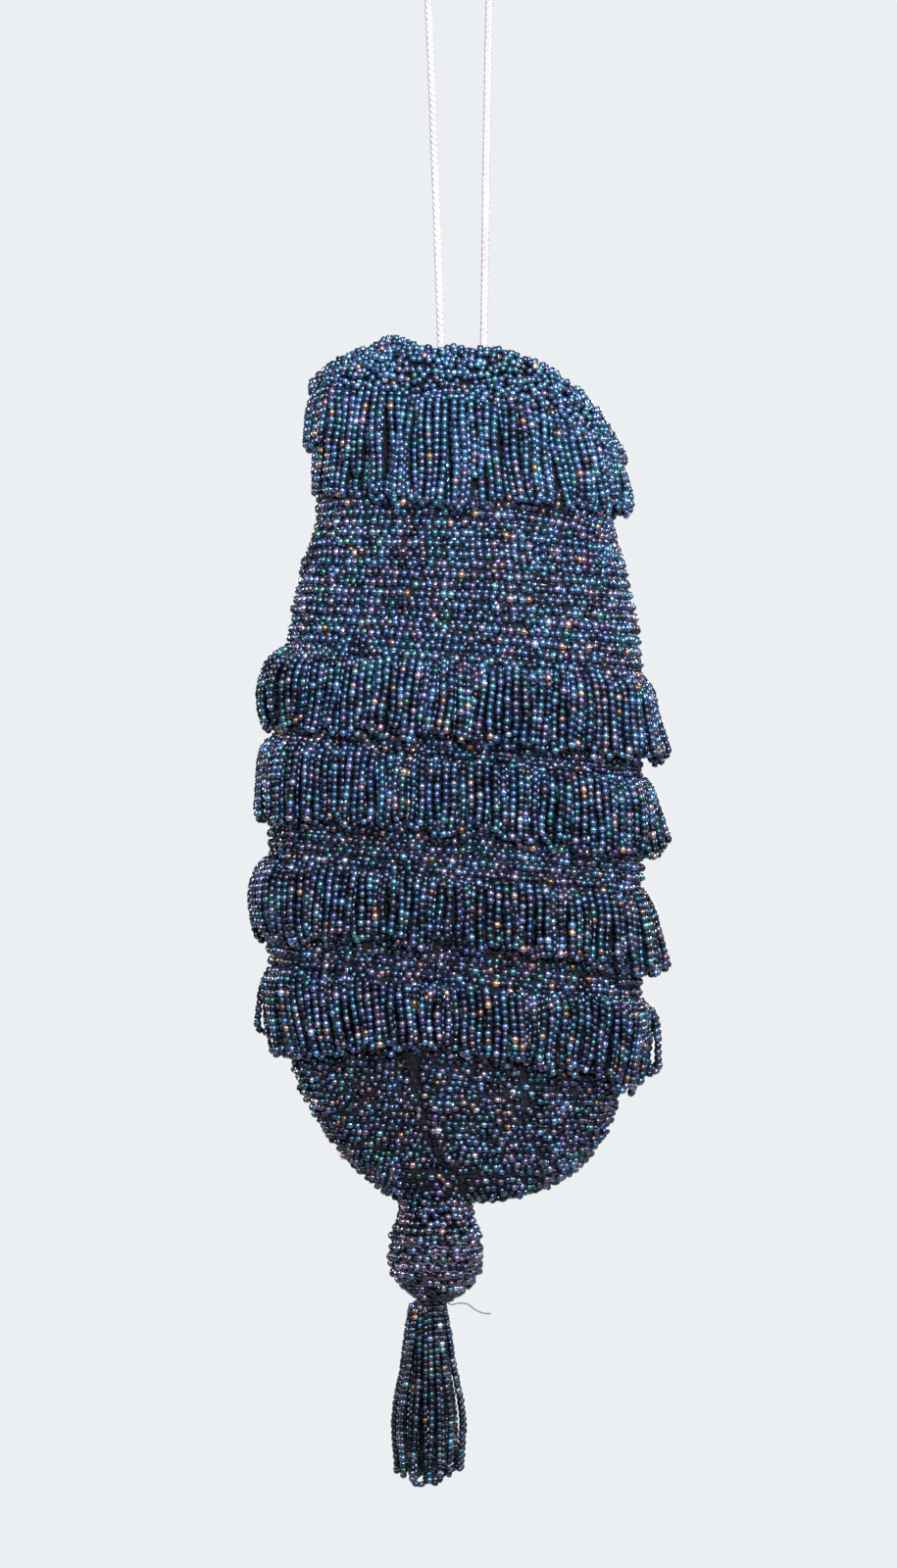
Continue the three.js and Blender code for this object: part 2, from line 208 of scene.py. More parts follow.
def mixColours(tree, factor, first, second):
    colourA, colourB, mixed = 6, 7, 2  # the sockets that a Mix node shows when it mixes colours
    node = addNode(tree, "ShaderNodeMix", data_type="RGBA")
    for socket, value in ((0, factor), (colourA, first), (colourB, second)):
        if isinstance(value, bpy.types.NodeSocket):
            tree.links.new(value, node.inputs[socket])
        else:
            node.inputs[socket].default_value = value
    return node.outputs[mixed]


def newMaterial(name, shaderInputs):
    material = bpy.data.materials.new(name)
    material.use_nodes = True
    shader = material.node_tree.nodes["Principled BSDF"]
    for key, value in shaderInputs.items():
        shader.inputs[key].default_value = value
    return material, material.node_tree, shader


def newGroup(name, sockets):
    group = bpy.data.node_groups.new(name, "ShaderNodeTree")
    for direction, kind, label in sockets:
        group.interface.new_socket(name=label, in_out=direction, socket_type="NodeSocket" + kind)
    return group, group.nodes.new("NodeGroupInput"), group.nodes.new("NodeGroupOutput")


# Spun fibres: fine grain, with a slow change of shade. Scales are repeats in a metre.
fibre = {
    "grainDetail": 3,
    "shadeScale": 90,
    "shadeDetail": 2,
    "deepest": 0.75,  # the sums of both noises that give the deep and the pale tone
    "palest": 1.25,
    "strength": 0.6,
}


def makeFibreGroup():
    group, given, result = newGroup("spunFibres", [
        ("INPUT", "Color", "Pale"),
        ("INPUT", "Color", "Deep"),
        ("INPUT", "Float", "Grain"),
        ("OUTPUT", "Color", "Colour"),
        ("OUTPUT", "Float", "Height"),
    ])
    place = addNode(group, "ShaderNodeTexCoord").outputs["Object"]
    grain = {"Vector": place, "Scale": given.outputs["Grain"], "Detail": fibre["grainDetail"]}
    fine = addNode(group, "ShaderNodeTexNoise", grain).outputs["Fac"]
    shade = {"Vector": place, "Scale": fibre["shadeScale"], "Detail": fibre["shadeDetail"]}
    slow = addNode(group, "ShaderNodeTexNoise", shade).outputs["Fac"]
    both = addNode(group, "ShaderNodeMath", {0: fine, 1: slow}, operation="ADD").outputs[0]
    share = addNode(group, "ShaderNodeMapRange", {
        "Value": both,
        "From Min": fibre["deepest"],
        "From Max": fibre["palest"],
    })
    colour = mixColours(group, share.outputs[0], given.outputs["Deep"], given.outputs["Pale"])
    group.links.new(colour, result.inputs["Colour"])
    group.links.new(fine, result.inputs["Height"])
    return group


def placeFibres(tree, group, look):
    fibres = addNode(tree, "ShaderNodeGroup", node_tree=group)
    fibres.inputs["Pale"].default_value = (*look["pale"], 1)
    fibres.inputs["Deep"].default_value = (*look["deep"], 1)
    fibres.inputs["Grain"].default_value = look["grain"]
    return fibres


def fibreFinish(name, group, look):
    material, tree, shader = newMaterial(name, {
        "Roughness": look["roughness"],
        "Specular IOR Level": look["specular"],
    })
    fibres = placeFibres(tree, group, look)
    raised = addNode(tree, "ShaderNodeBump", {
        "Height": fibres.outputs["Height"],
        "Strength": fibre["strength"],
        "Distance": look["bump"] * mm,
    })
    tree.links.new(fibres.outputs["Colour"], shader.inputs["Base Color"])
    tree.links.new(raised.outputs["Normal"], shader.inputs["Normal"])
    return material


# Crochet: rounds of slanted stitches over the fibres. Stitches and rounds are how many go across
# and up the cloth's own map.
crochet = {
    # The thread's own dark purple, made darker still: painted shade in the gaps between the beads
    "pale": (0.015, 0.012, 0.026),
    "deep": (0.005, 0.004, 0.01),
    "grain": 2600,
    "roughness": 0.85,
    "specular": 0.25,
    "stitches": 63,
    "rounds": 40,
    "slant": 0.35,
    "stitchWaver": 1.2,
    "roundWaver": 0.5,
    # Painted shade in the hollows between the stitches
    "hollowShade": 0.35,  # what the deep tone is multiplied by between the stitches
    "stitchHeight": 0.6,
    "stitchStrength": 0.9,
    "fuzzHeight": 0.08,
    "fuzzStrength": 0.5,
}


def crochetFinish(name, group, look):
    material, tree, shader = newMaterial(name, {
        "Roughness": look["roughness"],
        "Specular IOR Level": look["specular"],
    })
    fibres = placeFibres(tree, group, look)
    place = addNode(tree, "ShaderNodeUVMap", uv_map="UVMap").outputs["UV"]
    slanted = addNode(tree, "ShaderNodeMapping", {
        "Vector": place,
        "Rotation": (0, 0, look["slant"]),
        "Scale": (look["stitches"], look["rounds"], 1),
    })
    wave = {"Vector": slanted.outputs[0], "Scale": 1, "Distortion": look["stitchWaver"]}
    across = addNode(tree, "ShaderNodeTexWave", wave)
    level = addNode(tree, "ShaderNodeMapping", {"Vector": place, "Scale": (1, look["rounds"], 1)})
    wave = {"Vector": level.outputs[0], "Scale": 1, "Distortion": look["roundWaver"]}
    along = addNode(tree, "ShaderNodeTexWave", wave, bands_direction="Y")
    both = {0: across.outputs["Fac"], 1: along.outputs["Fac"]}
    stitches = addNode(tree, "ShaderNodeMath", both, operation="MULTIPLY").outputs[0]
    # Painted shade: the deep tone, darkened by hollowShade, is painted between the stitches
    hollow = (*[part * look["hollowShade"] for part in look["deep"]], 1)
    shaded = mixColours(tree, stitches, hollow, fibres.outputs["Colour"])
    tree.links.new(shaded, shader.inputs["Base Color"])
    raised = addNode(tree, "ShaderNodeBump", {
        "Height": stitches,
        "Strength": look["stitchStrength"],
        "Distance": look["stitchHeight"] * mm,
    })
    fuzz = addNode(tree, "ShaderNodeBump", {
        "Height": fibres.outputs["Height"],
        "Strength": look["fuzzStrength"],
        "Distance": look["fuzzHeight"] * mm,
        "Normal": raised.outputs["Normal"],
    })
    tree.links.new(fuzz.outputs["Normal"], shader.inputs["Normal"])
    return material


# Glass beads with an iridescent metallic coat. Every bead carries its own tone and glint, and hole is 1 where
# its thread goes in; there the glass is painted near black, painted shade in the hole.
glass = {
    "tones": [
        (0.00, (0.012, 0.015, 0.030)),  # ink
        (0.14, (0.024, 0.036, 0.125)),  # indigo
        (0.28, (0.050, 0.110, 0.240)),  # steel blue
        (0.40, (0.020, 0.120, 0.170)),  # teal
        (0.50, (0.040, 0.140, 0.110)),  # green
        (0.60, (0.090, 0.065, 0.220)),  # violet
        (0.70, (0.125, 0.090, 0.155)),  # mauve
        (0.80, (0.240, 0.115, 0.150)),  # rose
        (0.90, (0.360, 0.160, 0.050)),  # copper
        (1.00, (0.300, 0.350, 0.520)),  # silver
    ],
    # Painted shade in each bead's hole
    "hole": (0.004, 0.004, 0.008, 1),
    "metallic": 0.85,
    "coat": 0.5,
    "coatRoughness": 0.05,
    "coatIor": 1.5,
    "roughnessDull": 0.27,
    "roughnessBright": 0.12,
    "dim": 0.37,  # what the dullest and brightest beads multiply their tone by
    "bright": 1.95,
    "pale": (0.30, 0.34, 0.42, 1),  # what bright beads turn to, from what glint on, and by how much
    "paleFrom": 0.1,
    "paleShare": 0.26,
    "filmScale": 900,  # how fine the drift of tone within a bead is, and how far it goes
    "filmShift": 0.09,
    "rippleScale": 1300,
    "rippleStrength": 0.7,
    "ripple": 0.05,  # how deep the glass is rippled
}


# A value that goes from one end to the other as a bead's glint goes from 0 to 1
def byGlint(tree, glint, dull, bright, first=0.0):
    return addNode(tree, "ShaderNodeMapRange", {
        "Value": glint,
        "From Min": first,
        "To Min": dull,
        "To Max": bright,
    }).outputs[0]


def toneRamp(tree, value, tones):
    ramp = addNode(tree, "ShaderNodeValToRGB", {"Fac": value})
    stops = ramp.color_ramp.elements
    for stop, (position, colour) in ((stops[0], tones[0]), (stops[1], tones[-1])):
        stop.position = position
        stop.color = (*colour, 1)
    for position, colour in tones[1:-1]:
        stops.new(position).color = (*colour, 1)
    return ramp.outputs["Color"]


def beadFinish(name, glass):
    material, tree, shader = newMaterial(name, {
        "Metallic": glass["metallic"],
        "Coat Weight": glass["coat"],
        "Coat Roughness": glass["coatRoughness"],
        "Coat IOR": glass["coatIor"],
    })
    tone = addNode(tree, "ShaderNodeAttribute", attribute_name="tone").outputs["Fac"]
    glint = addNode(tree, "ShaderNodeAttribute", attribute_name="glint").outputs["Fac"]
    hole = addNode(tree, "ShaderNodeAttribute", attribute_name="hole").outputs["Fac"]
    place = addNode(tree, "ShaderNodeTexCoord").outputs["Object"]
    noise = {"Vector": place, "Scale": glass["filmScale"], "Detail": 1}
    film = addNode(tree, "ShaderNodeTexNoise", noise).outputs["Fac"]
    shift = addNode(tree, "ShaderNodeMapRange", {
        "Value": film,
        "To Min": -glass["filmShift"],
        "To Max": glass["filmShift"],
    })
    both = {0: tone, 1: shift.outputs[0]}
    shifted = addNode(tree, "ShaderNodeMath", both, operation="ADD", use_clamp=True)
    colour = toneRamp(tree, shifted.outputs[0], glass["tones"])
    lift = byGlint(tree, glint, glass["dim"], glass["bright"])
    lifted = addNode(tree, "ShaderNodeVectorMath", {0: colour, "Scale": lift}, operation="SCALE")
    share = byGlint(tree, glint, 0, glass["paleShare"], glass["paleFrom"])
    paled = mixColours(tree, share, lifted.outputs["Vector"], glass["pale"])
    # Painted shade: the hole is painted near black
    shaded = mixColours(tree, hole, paled, glass["hole"])
    tree.links.new(shaded, shader.inputs["Base Color"])
    polish = byGlint(tree, glint, glass["roughnessDull"], glass["roughnessBright"])
    tree.links.new(polish, shader.inputs["Roughness"])
    noise = {"Vector": place, "Scale": glass["rippleScale"], "Detail": 1}
    raised = addNode(tree, "ShaderNodeBump", {
        "Height": addNode(tree, "ShaderNodeTexNoise", noise).outputs["Fac"],
        "Strength": glass["rippleStrength"],
        "Distance": glass["ripple"] * mm,
    })
    tree.links.new(raised.outputs["Normal"], shader.inputs["Normal"])
    return material


fibreGroup = makeFibreGroup()
beadGlass = beadFinish("beadGlass", glass)
crochetThread = crochetFinish("crochetThread", fibreGroup, crochet)
looseThread = fibreFinish("looseThread", fibreGroup, {
    "pale": (0.06, 0.035, 0.085),
    "deep": (0.012, 0.008, 0.022),
    "grain": 5000,
    "bump": 0.05,
    "roughness": 0.8,
    "specular": 0.25,
})
ballThread = fibreFinish("ballThread", fibreGroup, {
    "pale": (0.12, 0.075, 0.115),
    "deep": (0.025, 0.017, 0.03),
    "grain": 5000,
    "bump": 0.05,
    "roughness": 0.8,
    "specular": 0.3,
})
cordYarn = fibreFinish("cordYarn", fibreGroup, {
    "pale": (0.37, 0.31, 0.3),
    "deep": (0.3, 0.24, 0.235),
    "grain": 2000,
    "bump": 0.04,
    "roughness": 0.9,
    "specular": 0.3,
})


# The drawstring: three yarns plaited along the line that the purse hangs by

drawstring = {
    "diameter": 2.1,
    "yarns": 3,
    "yarnRadius": 0.52,
    "yarnSides": 6,
    "weaveAcross": 0.56,
    "weaveThrough": 0.3,
    "plait": 5.2,  # the length in which a yarn comes back to its place
    "step": 0.5,
    "route": [
        (-4.6, -12.9, -116), (-4.8, -12.3, -111), (-5.1, -11.1, -100), (-5.6, -9.4, -85),
        (-6.1, -7.8, -70), (-6.7, -6.1, -55), (-7.2, -4.4, -40), (-7.8, -2.9, -26),
        (-8.3, -1.5, -14), (-8.45, -0.8, -7.4), (-7.3, -0.3, -3.2), (-4.2, 0, -0.1),
        (0, 0, 1.05), (4.2, 0, -0.1), (7.3, -0.3, -3.2), (8.45, -0.8, -7.4),
        (8.4, -1.5, -14), (8.1, -2.9, -26), (7.9, -4.4, -40), (7.6, -6.1, -55),
        (7.4, -7.8, -70), (7.2, -9.4, -85), (7, -11.1, -100), (6.8, -12.3, -111),
        (6.75, -12.9, -116),
    ],
}


def plaitedYarns(line, cord):
    sides = carriedSides(line)
    ups = np.cross(unit(np.gradient(line, axis=0)), sides)
    phase = fullTurn * distanceAlong(line) / cord["plait"]
    yarns = []
    for k in range(cord["yarns"]):
        own = phase + fullTurn * k / cord["yarns"]
        across = cord["weaveAcross"] * np.sin(own)
        through = cord["weaveThrough"] * np.sin(2 * own)
        middle = line + across[:, None] * sides + through[:, None] * ups
        yarns.append(tube(middle, cord["yarnRadius"], cord["yarnSides"]))
    return gather(yarns)


def makeDrawstring(cord):
    line = smoothRoute(cord["route"], cord["step"])
    piece = makeMesh("drawstring_plait", *plaitedYarns(line, cord), cordYarn)
    length = distanceAlong(line)[-1]
    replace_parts(piece, "drawstring")
    print("drawstring", round(length, 1), "mm")


makeCamera(photoView)
makeDrawstring(drawstring)


# The pouch's form. Down, across, shift and through are columns of one table, a column for each
# level: down is a share of the length, across and shift of the width, through of the depth.

pouch = {
    "hang": 110,
    "length": 234.4,
    "width": 104,
    "depth": 42,
    "taperShare": 0.8,  # how much of its narrowing counts in a distance down its skin
    "rimDrop": 25.4,
    "rimFade": 0.25,  # the share of the length over which the rim's slope dies out
    # Creases: widths in turns, and the depth of groove from which its middle has no beads
    "valleyWidth": 0.03,
    "lipWidth": 0.022,
    "creaseWidth": 0.004,
    "grooveWidth": 0.003,
    "bareShare": 0.45,
    "bareDepth": 1,
    "down": [
        0, 0.044, 0.107, 0.159, 0.188, 0.251, 0.297, 0.343, 0.389, 0.447, 0.585,
        0.712, 0.758, 0.82, 0.858, 0.901, 0.941, 0.972, 0.9885, 0.997, 1,
    ],
    "across": [
        0.794, 0.794, 0.793, 0.791, 0.789, 0.87, 0.911, 0.948, 0.966, 0.99, 1,
        0.997, 0.973, 0.909, 0.867, 0.789, 0.67, 0.514, 0.37, 0.2, 0.005,
    ],
    "shift": [
        0.029, 0.026, 0.021, 0.017, 0.016, 0.012, 0.014, 0.012, 0.01, -0.002, -0.008,
        -0.008, -0.001, 0.003, 0.004, 0.016, 0.023, 0.018, 0, -0.035, -0.061,
    ],
    "through": [
        0.8, 0.8, 0.8, 0.8, 0.8, 0.85, 0.89, 0.92, 0.95, 0.98, 1,
        1, 0.985, 0.93, 0.88, 0.79, 0.67, 0.53, 0.38, 0.22, 0.005,
    ],
    # The rim: turns, and how far it drops there as a share of rimDrop
    "rimTurns": [
        0, 0.0625, 0.125, 0.1875, 0.25, 0.3125, 0.375, 0.4375, 0.5,
        0.5625, 0.615, 0.6625, 0.71, 0.75, 0.8125, 0.875, 0.9375,
    ],
    "rimShares": [
        1, 0.78, 0.42, 0.1, 0, 0, 0.05, 0.13, 0.26,
        0.1, -0.05, -0.22, -0.04, 0.05, 0.15, 0.45, 0.8,
    ],
    # Creases of the lower pouch: the turn of each at its levels, how deep the skin is pressed in
    # on its left, and how far the skin on its right laps out over it.
    "folds": [
        {
            "levels": [0.785, 0.805, 0.825, 0.86, 0.913, 0.944, 0.977, 0.995],
            "turns": [0.345, 0.315, 0.294, 0.292, 0.292, 0.284, 0.25, 0.24],
            "depth": 4.4,
            "lip": 1.2,
            "groove": 2.2,
        },
        {"levels": [0.78, 0.92], "turns": [0.19, 0.189], "depth": 1.3, "lip": 0.2, "groove": 0.5},
        {"levels": [0.8, 0.98], "turns": [0.7, 0.735], "depth": 3, "lip": 0.8, "groove": 1.6},
        {"levels": [0.82, 0.96], "turns": [0.86, 0.8], "depth": 1.8, "lip": 0.4, "groove": 0.8},
    ],
}

profileDrop = pouch["length"] * np.array(pouch["down"])
profileHalf = pouch["width"] / 2 * np.array(pouch["across"])
profileSteps = np.hypot(np.diff(profileDrop), pouch["taperShare"] * np.diff(profileHalf))
profileReach = np.concatenate([[0], np.cumsum(profileSteps)])


def rimDropAt(turn):
    turns, shares = pouch["rimTurns"], pouch["rimShares"]
    around = [turns[-2] - 1, turns[-1] - 1, *turns, 1, 1 + turns[1]]
    values = [*shares[-2:], *shares, *shares[:2]]
    return pouch["rimDrop"] * smoothAt(np.mod(turn, 1), around, values)


# How far the creases press the skin in, or lap it out where this is below zero
def foldAt(level, turn):
    pressed = np.zeros(np.broadcast(level, turn).shape)
    for fold in pouch["folds"]:
        first, last = fold["levels"][0], fold["levels"][-1]
        along = np.clip((level - first) / (last - first), 0, 1)
        away = turn - np.interp(level, fold["levels"], fold["turns"])
        valley = fold["depth"] * np.exp(-np.abs(away) / pouch["valleyWidth"])
        lip = fold["lip"] * np.exp(-np.abs(away) / pouch["lipWidth"])
        leftSide = 0.5 + 0.5 * np.tanh(away / pouch["creaseWidth"])
        groove = fold["groove"] * np.exp(-(away / pouch["grooveWidth"]) ** 2)
        fade = np.sin(math.pi * along) ** 0.5
        pressed = pressed + fade * ((valley + lip) * leftSide - lip + groove)
    return pressed


# Where the creases' grooves are too narrow for beads
def inGroove(level, turn):
    found = np.zeros(np.broadcast(level, turn).shape, bool)
    for fold in pouch["folds"]:
        inside = (level > fold["levels"][0]) & (level < fold["levels"][-1])
        away = turn - np.interp(level, fold["levels"], fold["turns"])
        if fold["groove"] > pouch["bareDepth"]:
            found |= inside & (np.abs(away) < pouch["bareShare"] * pouch["grooveWidth"])
    return found


# Half width, half depth and middle of the pouch where its skin has come a distance from the rim
def formAt(reach):
    halfWidth = pouch["width"] / 2 * smoothAt(reach, profileReach, pouch["across"])
    halfDepth = pouch["depth"] / 2 * smoothAt(reach, profileReach, pouch["through"])
    return halfWidth, halfDepth, pouch["width"] * smoothAt(reach, profileReach, pouch["shift"])


def reachAtHeight(height):
    return np.interp(-pouch["hang"] - height, profileDrop, profileReach)


# Points round the pouch at a height, out from its skin
def besidePouch(height, turn, out):
    halfWidth, halfDepth, middle = formAt(reachAtHeight(height))
    angle = fullTurn * np.asarray(turn)
    facing = unit(np.stack([np.cos(angle) / halfWidth, np.sin(angle) / halfDepth], -1))
    x = middle + halfWidth * np.cos(angle) + out * facing[..., 0]
    y = -(halfDepth * np.sin(angle) + out * facing[..., 1])
    return np.stack([x, y, np.broadcast_to(height, x.shape)], -1)


# Points on the skin, a distance down it from the rim
def skinPoint(reach, turn):
    drop = smoothAt(reach, profileReach, profileDrop)
    fade = np.clip(1 - drop / pouch["length"] / pouch["rimFade"], 0, None)
    dropped = drop + rimDropAt(turn) * fade
    level = dropped / pouch["length"]
    unsloped = np.interp(dropped, profileDrop, profileReach)
    halfWidth, halfDepth, middle = formAt(np.where(fade > 0, unsloped, reach))
    angle = fullTurn * np.asarray(turn)
    facing = unit(np.stack([np.cos(angle) / halfWidth, np.sin(angle) / halfDepth], -1))
    fold = foldAt(level, np.mod(turn, 1))
    x = middle + halfWidth * np.cos(angle) - fold * facing[..., 0]
    y = -(halfDepth * np.sin(angle) - fold * facing[..., 1])
    return np.stack([x, y, -pouch["hang"] - dropped], -1)


def skinNormal(reach, turn):
    turnSlip = 0.003
    reachSlip = 0.3
    around = skinPoint(reach, turn + turnSlip) - skinPoint(reach, turn - turnSlip)
    down = skinPoint(reach + reachSlip, turn) - skinPoint(reach - reachSlip, turn)
    return unit(np.cross(around, down) + np.array([0, 0, -1e-4]))  # plain down at the lowest point


def rimHeightAt(turn):
    return -pouch["hang"] - rimDropAt(turn)


# Turns that share out a ring evenly. The ring is a function from turns to points.
def evenTurns(ring, spacing, start):
    samples = 721
    fine = np.linspace(0, 1, samples)
    reach = distanceAlong(ring(fine))
    count = max(1, round(reach[-1] / spacing))
    return np.interp((np.arange(count) + start) / count * reach[-1], reach, fine)


# Beads: one is modelled for each count of sides, and all others are copies of it

seedBead = {
    "rings": 4,
    "shoulderWidth": 1.08,
    "shoulderHeight": 0.8,
    "holeDepth": 0.5,
    "unevenness": 0.08,  # the spread of widths and lengths, and the most of it that is kept
    "mostUneven": 1.5,
    "toneSpread": 0.04,
}


def modelBead(sides, bead):
    bpy.ops.object.select_all(action="DESELECT")
    bpy.ops.mesh.primitive_uv_sphere_add(segments=sides, ring_count=bead["rings"], radius=0.5)
    model = bpy.context.object
    bpy.ops.object.mode_set(mode="EDIT")
    bpy.ops.mesh.select_mode(type="VERT")
    waist, pole = 0.2, 0.45  # heights that part its rings
    selectVertices(model, lambda co: waist < abs(co.z) < pole)
    shoulder = (bead["shoulderWidth"], bead["shoulderWidth"], bead["shoulderHeight"])
    bpy.ops.transform.resize(value=shoulder, center_override=(0, 0, 0))
    selectVertices(model, lambda co: abs(co.z) > pole)
    bpy.ops.transform.resize(value=(1, 1, bead["holeDepth"]), center_override=(0, 0, 0))
    bpy.ops.object.mode_set(mode="OBJECT")
    points = np.array([vertex.co for vertex in model.data.vertices])
    points[:, 2] *= 0.5 / np.abs(points[:, 2]).max()
    loops = [list(face.vertices) for face in model.data.polygons]
    faces = [np.array([loop for loop in loops if len(loop) == corners]) for corners in (3, 4)]
    nearAxis = 0.05
    hole = (np.hypot(points[:, 0], points[:, 1]) < nearAxis).astype(float)
    bpy.data.objects.remove(model)
    return {"points": points, "faces": faces, "hole": hole}


beadShapes = {sides: modelBead(sides, seedBead) for sides in (6, 7, 8)}

# Kinds of beads: the share of each tone of glass, in the order of the glass table, the least glint
# of any, and how few are bright
beadKinds = {
    # Painted haze: a higher least glint lightens the upper pouch's beads, and the cuff's more
    "pouch": {"tones": [0.2, 0.1, 0.23, 0.13, 0.04, 0.08, 0.17, 0.02, 0.02, 0.01], "least": 0.12, "few": 3.2},
    # Beads of the sunken rows between rows: more ink and fewer bright, painted shade between the rows
    "between": {"tones": [0.4, 0.08, 0.16, 0.1, 0.04, 0.06, 0.13, 0.01, 0.01, 0.01], "least": 0.04, "few": 4},
    "lower": {"tones": [0.31, 0.09, 0.14, 0.08, 0.05, 0.08, 0.18, 0.03, 0.02, 0.02], "least": 0, "few": 3.8},
    # Painted haze: the cuff's beads are lightened most, by the highest least glint
    "cuff": {"tones": [0.14, 0.1, 0.36, 0.22, 0.04, 0.05, 0.05, 0.02, 0.01, 0.01], "least": 0.18, "few": 3},
    "fringe": {"tones": [0.26, 0.15, 0.22, 0.14, 0.04, 0.07, 0.06, 0.02, 0.02, 0.02], "least": 0, "few": 2.8},
    "lowerFringe": {
        "tones": [0.37, 0.11, 0.15, 0.11, 0.04, 0.07, 0.08, 0.025, 0.025, 0.02], "least": 0, "few": 3.8,
    },
    "tassel": {
        "tones": [0.7, 0.02, 0.05, 0.07, 0.05, 0.01, 0.05, 0.015, 0.02, 0.015], "least": 0, "few": 4.2,
    },
    "ball": {"tones": [0.42, 0.01, 0.07, 0.04, 0.04, 0.01, 0.33, 0.05, 0.01, 0.02], "least": 0, "few": 3},
}


def unevenSizes(size, count, chance):
    spread = chance.standard_normal((count, 1, 1)).clip(-seedBead["mostUneven"], seedBead["mostUneven"])
    return size * (1 + seedBead["unevenness"] * spread)


# Copies of a bead, strung along axes through centres. Sizes are width and length.
def strungBeads(shape, centres, axes, width, length, kind, chance):
    count = len(centres)
    axes = unit(axes)
    helper = np.where(np.abs(axes[:, 2:]) > 0.8, [[1.0, 0, 0]], [[0, 0, 1.0]])
    sideways = unit(np.cross(axes, helper))
    upward = np.cross(axes, sideways)
    spin = chance.uniform(0, fullTurn, count)[:, None]
    sides = sideways * np.cos(spin) + upward * np.sin(spin)
    ups = upward * np.cos(spin) - sideways * np.sin(spin)
    widths = unevenSizes(width, count, chance)
    lengths = unevenSizes(length, count, chance)
    model = shape["points"][None]
    spread = model[..., :1] * sides[:, None] + model[..., 1:2] * ups[:, None]
    points = centres[:, None] + widths * spread + lengths * model[..., 2:] * axes[:, None]
    each = len(shape["points"])
    firsts = (np.arange(count) * each)[:, None, None]
    faces = [(faceSet[None] + firsts).reshape(-1, faceSet.shape[1]) for faceSet in shape["faces"]]
    stops = np.array([position for position, _ in glass["tones"]])
    mix = beadKinds[kind]
    tones = stops[chance.choice(len(stops), count, p=mix["tones"])]
    tones = tones + chance.uniform(-seedBead["toneSpread"], seedBead["toneSpread"], count)
    glints = mix["least"] + (1 - mix["least"]) * chance.random(count) ** mix["few"]
    values = {
        "tone": np.repeat(tones.clip(0, 1), each),
        "glint": np.repeat(glints, each),
        "hole": np.tile(shape["hole"], count),
    }
    return points.reshape(-1, 3), faces, values


def makeBeads(name, strings):
    points, faces = gather([(points, faces) for points, faces, _ in strings])
    values = {key: np.concatenate([given[key] for _, _, given in strings]) for key in strings[0][2]}
    piece = makeMesh(name, points, faces, beadGlass, values)
    triangles = sum(len(faceSet) * (faceSet.shape[1] - 2) for faceSet in faces)
    print(name, triangles, "triangles")
    return piece


# The tiers of fringe, from top to bottom. Beads names a kind. Start, left, middle and right are
# shares of the pouch's length, tilt of its width. Flares and bows are how far loops swing out at
# an end of the pouch, at their foot and at their middle. Free loops stand off the others at the
# two ends: lift shortens them, out is their foot's distance from the pouch, and spread is half
# their width.

tiers = [
    {
        "node": "fringe_tier_2", "beads": "fringe", "seed": 42,
        "start": 0.366, "tilt": 0.082,
        "left": 0.088, "middle": 0.084, "right": 0.092,
        "flareLeft": -2.3, "flareRight": 3.9, "bowLeft": 3.6, "bowRight": 0.3,
        "freeLoops": [
            {"turn": 0.003, "lift": 1.2, "out": 5.3, "spread": 1.35, "twist": 1.5},
        ],
    },
    {
        "node": "fringe_tier_3", "beads": "fringe", "seed": 43,
        "start": 0.476, "tilt": 0.105,
        "left": 0.092, "middle": 0.082, "right": 0.088,
        "flareLeft": -0.8, "flareRight": 2.4, "bowLeft": 0.3, "bowRight": 0,
        "freeLoops": [
            {"turn": 0.502, "lift": 0.5, "out": 1.3, "spread": 1.75, "twist": 1.57},
            {"turn": 0.004, "lift": 2.6, "out": 4.9, "spread": 1.7, "twist": 1.57},
            {"turn": 0.978, "lift": 1.4, "out": 4.2, "spread": 1.5, "twist": 1.2},
        ],
    },
    {
        "node": "fringe_tier_4", "beads": "lowerFringe", "seed": 44,
        "start": 0.614, "tilt": 0.09,
        "left": 0.09, "middle": 0.078, "right": 0.092,
        "flareLeft": -2.4, "flareRight": 3.9, "bowLeft": 2.6, "bowRight": 0.3,
        "freeLoops": [
            {"turn": 0.5, "lift": 3.5, "out": 2.2, "spread": 1.2, "twist": 1.4},
            {"turn": 0.002, "lift": 1, "out": 5.6, "spread": 1.3, "twist": 1.3},
        ],
    },
    {
        "node": "fringe_tier_5", "beads": "lowerFringe", "seed": 45,
        "start": 0.741, "tilt": 0.086,
        "left": 0.096, "middle": 0.075, "right": 0.1,
        "flareLeft": 2.4, "flareRight": 1.9, "bowLeft": 0.3, "bowRight": 0.3,
        "freeLoops": [
            {"turn": 0.502, "lift": 5.2, "out": 4.9, "spread": 1.65, "twist": 1.57},
            {"turn": 0.468, "lift": 0.6, "out": 2.4, "spread": 1.6, "twist": 1.2},
            {"turn": 0, "lift": 3.4, "out": 6.4, "spread": 2.1, "twist": 1.57},
            {"turn": 0.985, "lift": 5, "out": 7, "spread": 1.4, "twist": 1.57},
            {"turn": 0.03, "lift": 0.4, "out": 2.2, "spread": 2.1, "twist": 1.35},
        ],
    },
]

cuff = {
    "beads": "cuff",
    "seed": 32,
    "left": 0.159, "middle": 0.178, "right": 0.182,
    "flareLeft": -0.8, "flareRight": 0.6, "bowLeft": 0.2, "bowRight": 0.6,
    "heading": 12,
    "headingShares": {"left": 0.2, "middle": 1, "right": 0.45},
    "wobble": 0.6,
    "leanSpread": 0.028,
    # How far its loops lean towards the right end, where the cosine of their turn is leanAt
    "leanAt": [-0.6, 0, 0.9],
    "lean": [0, 0.06, 0.26],
    # Outer loops are shorter near shortTurn, by shortLeft that dies out between two distances
    # from there in turns, and here and there elsewhere
    "shortLeft": 13,
    "shortTurn": 0.48,
    "shortFade": (0.08, 0.15),
    "shortShare": 0.14,
    "shortBy": (4, 15),
}

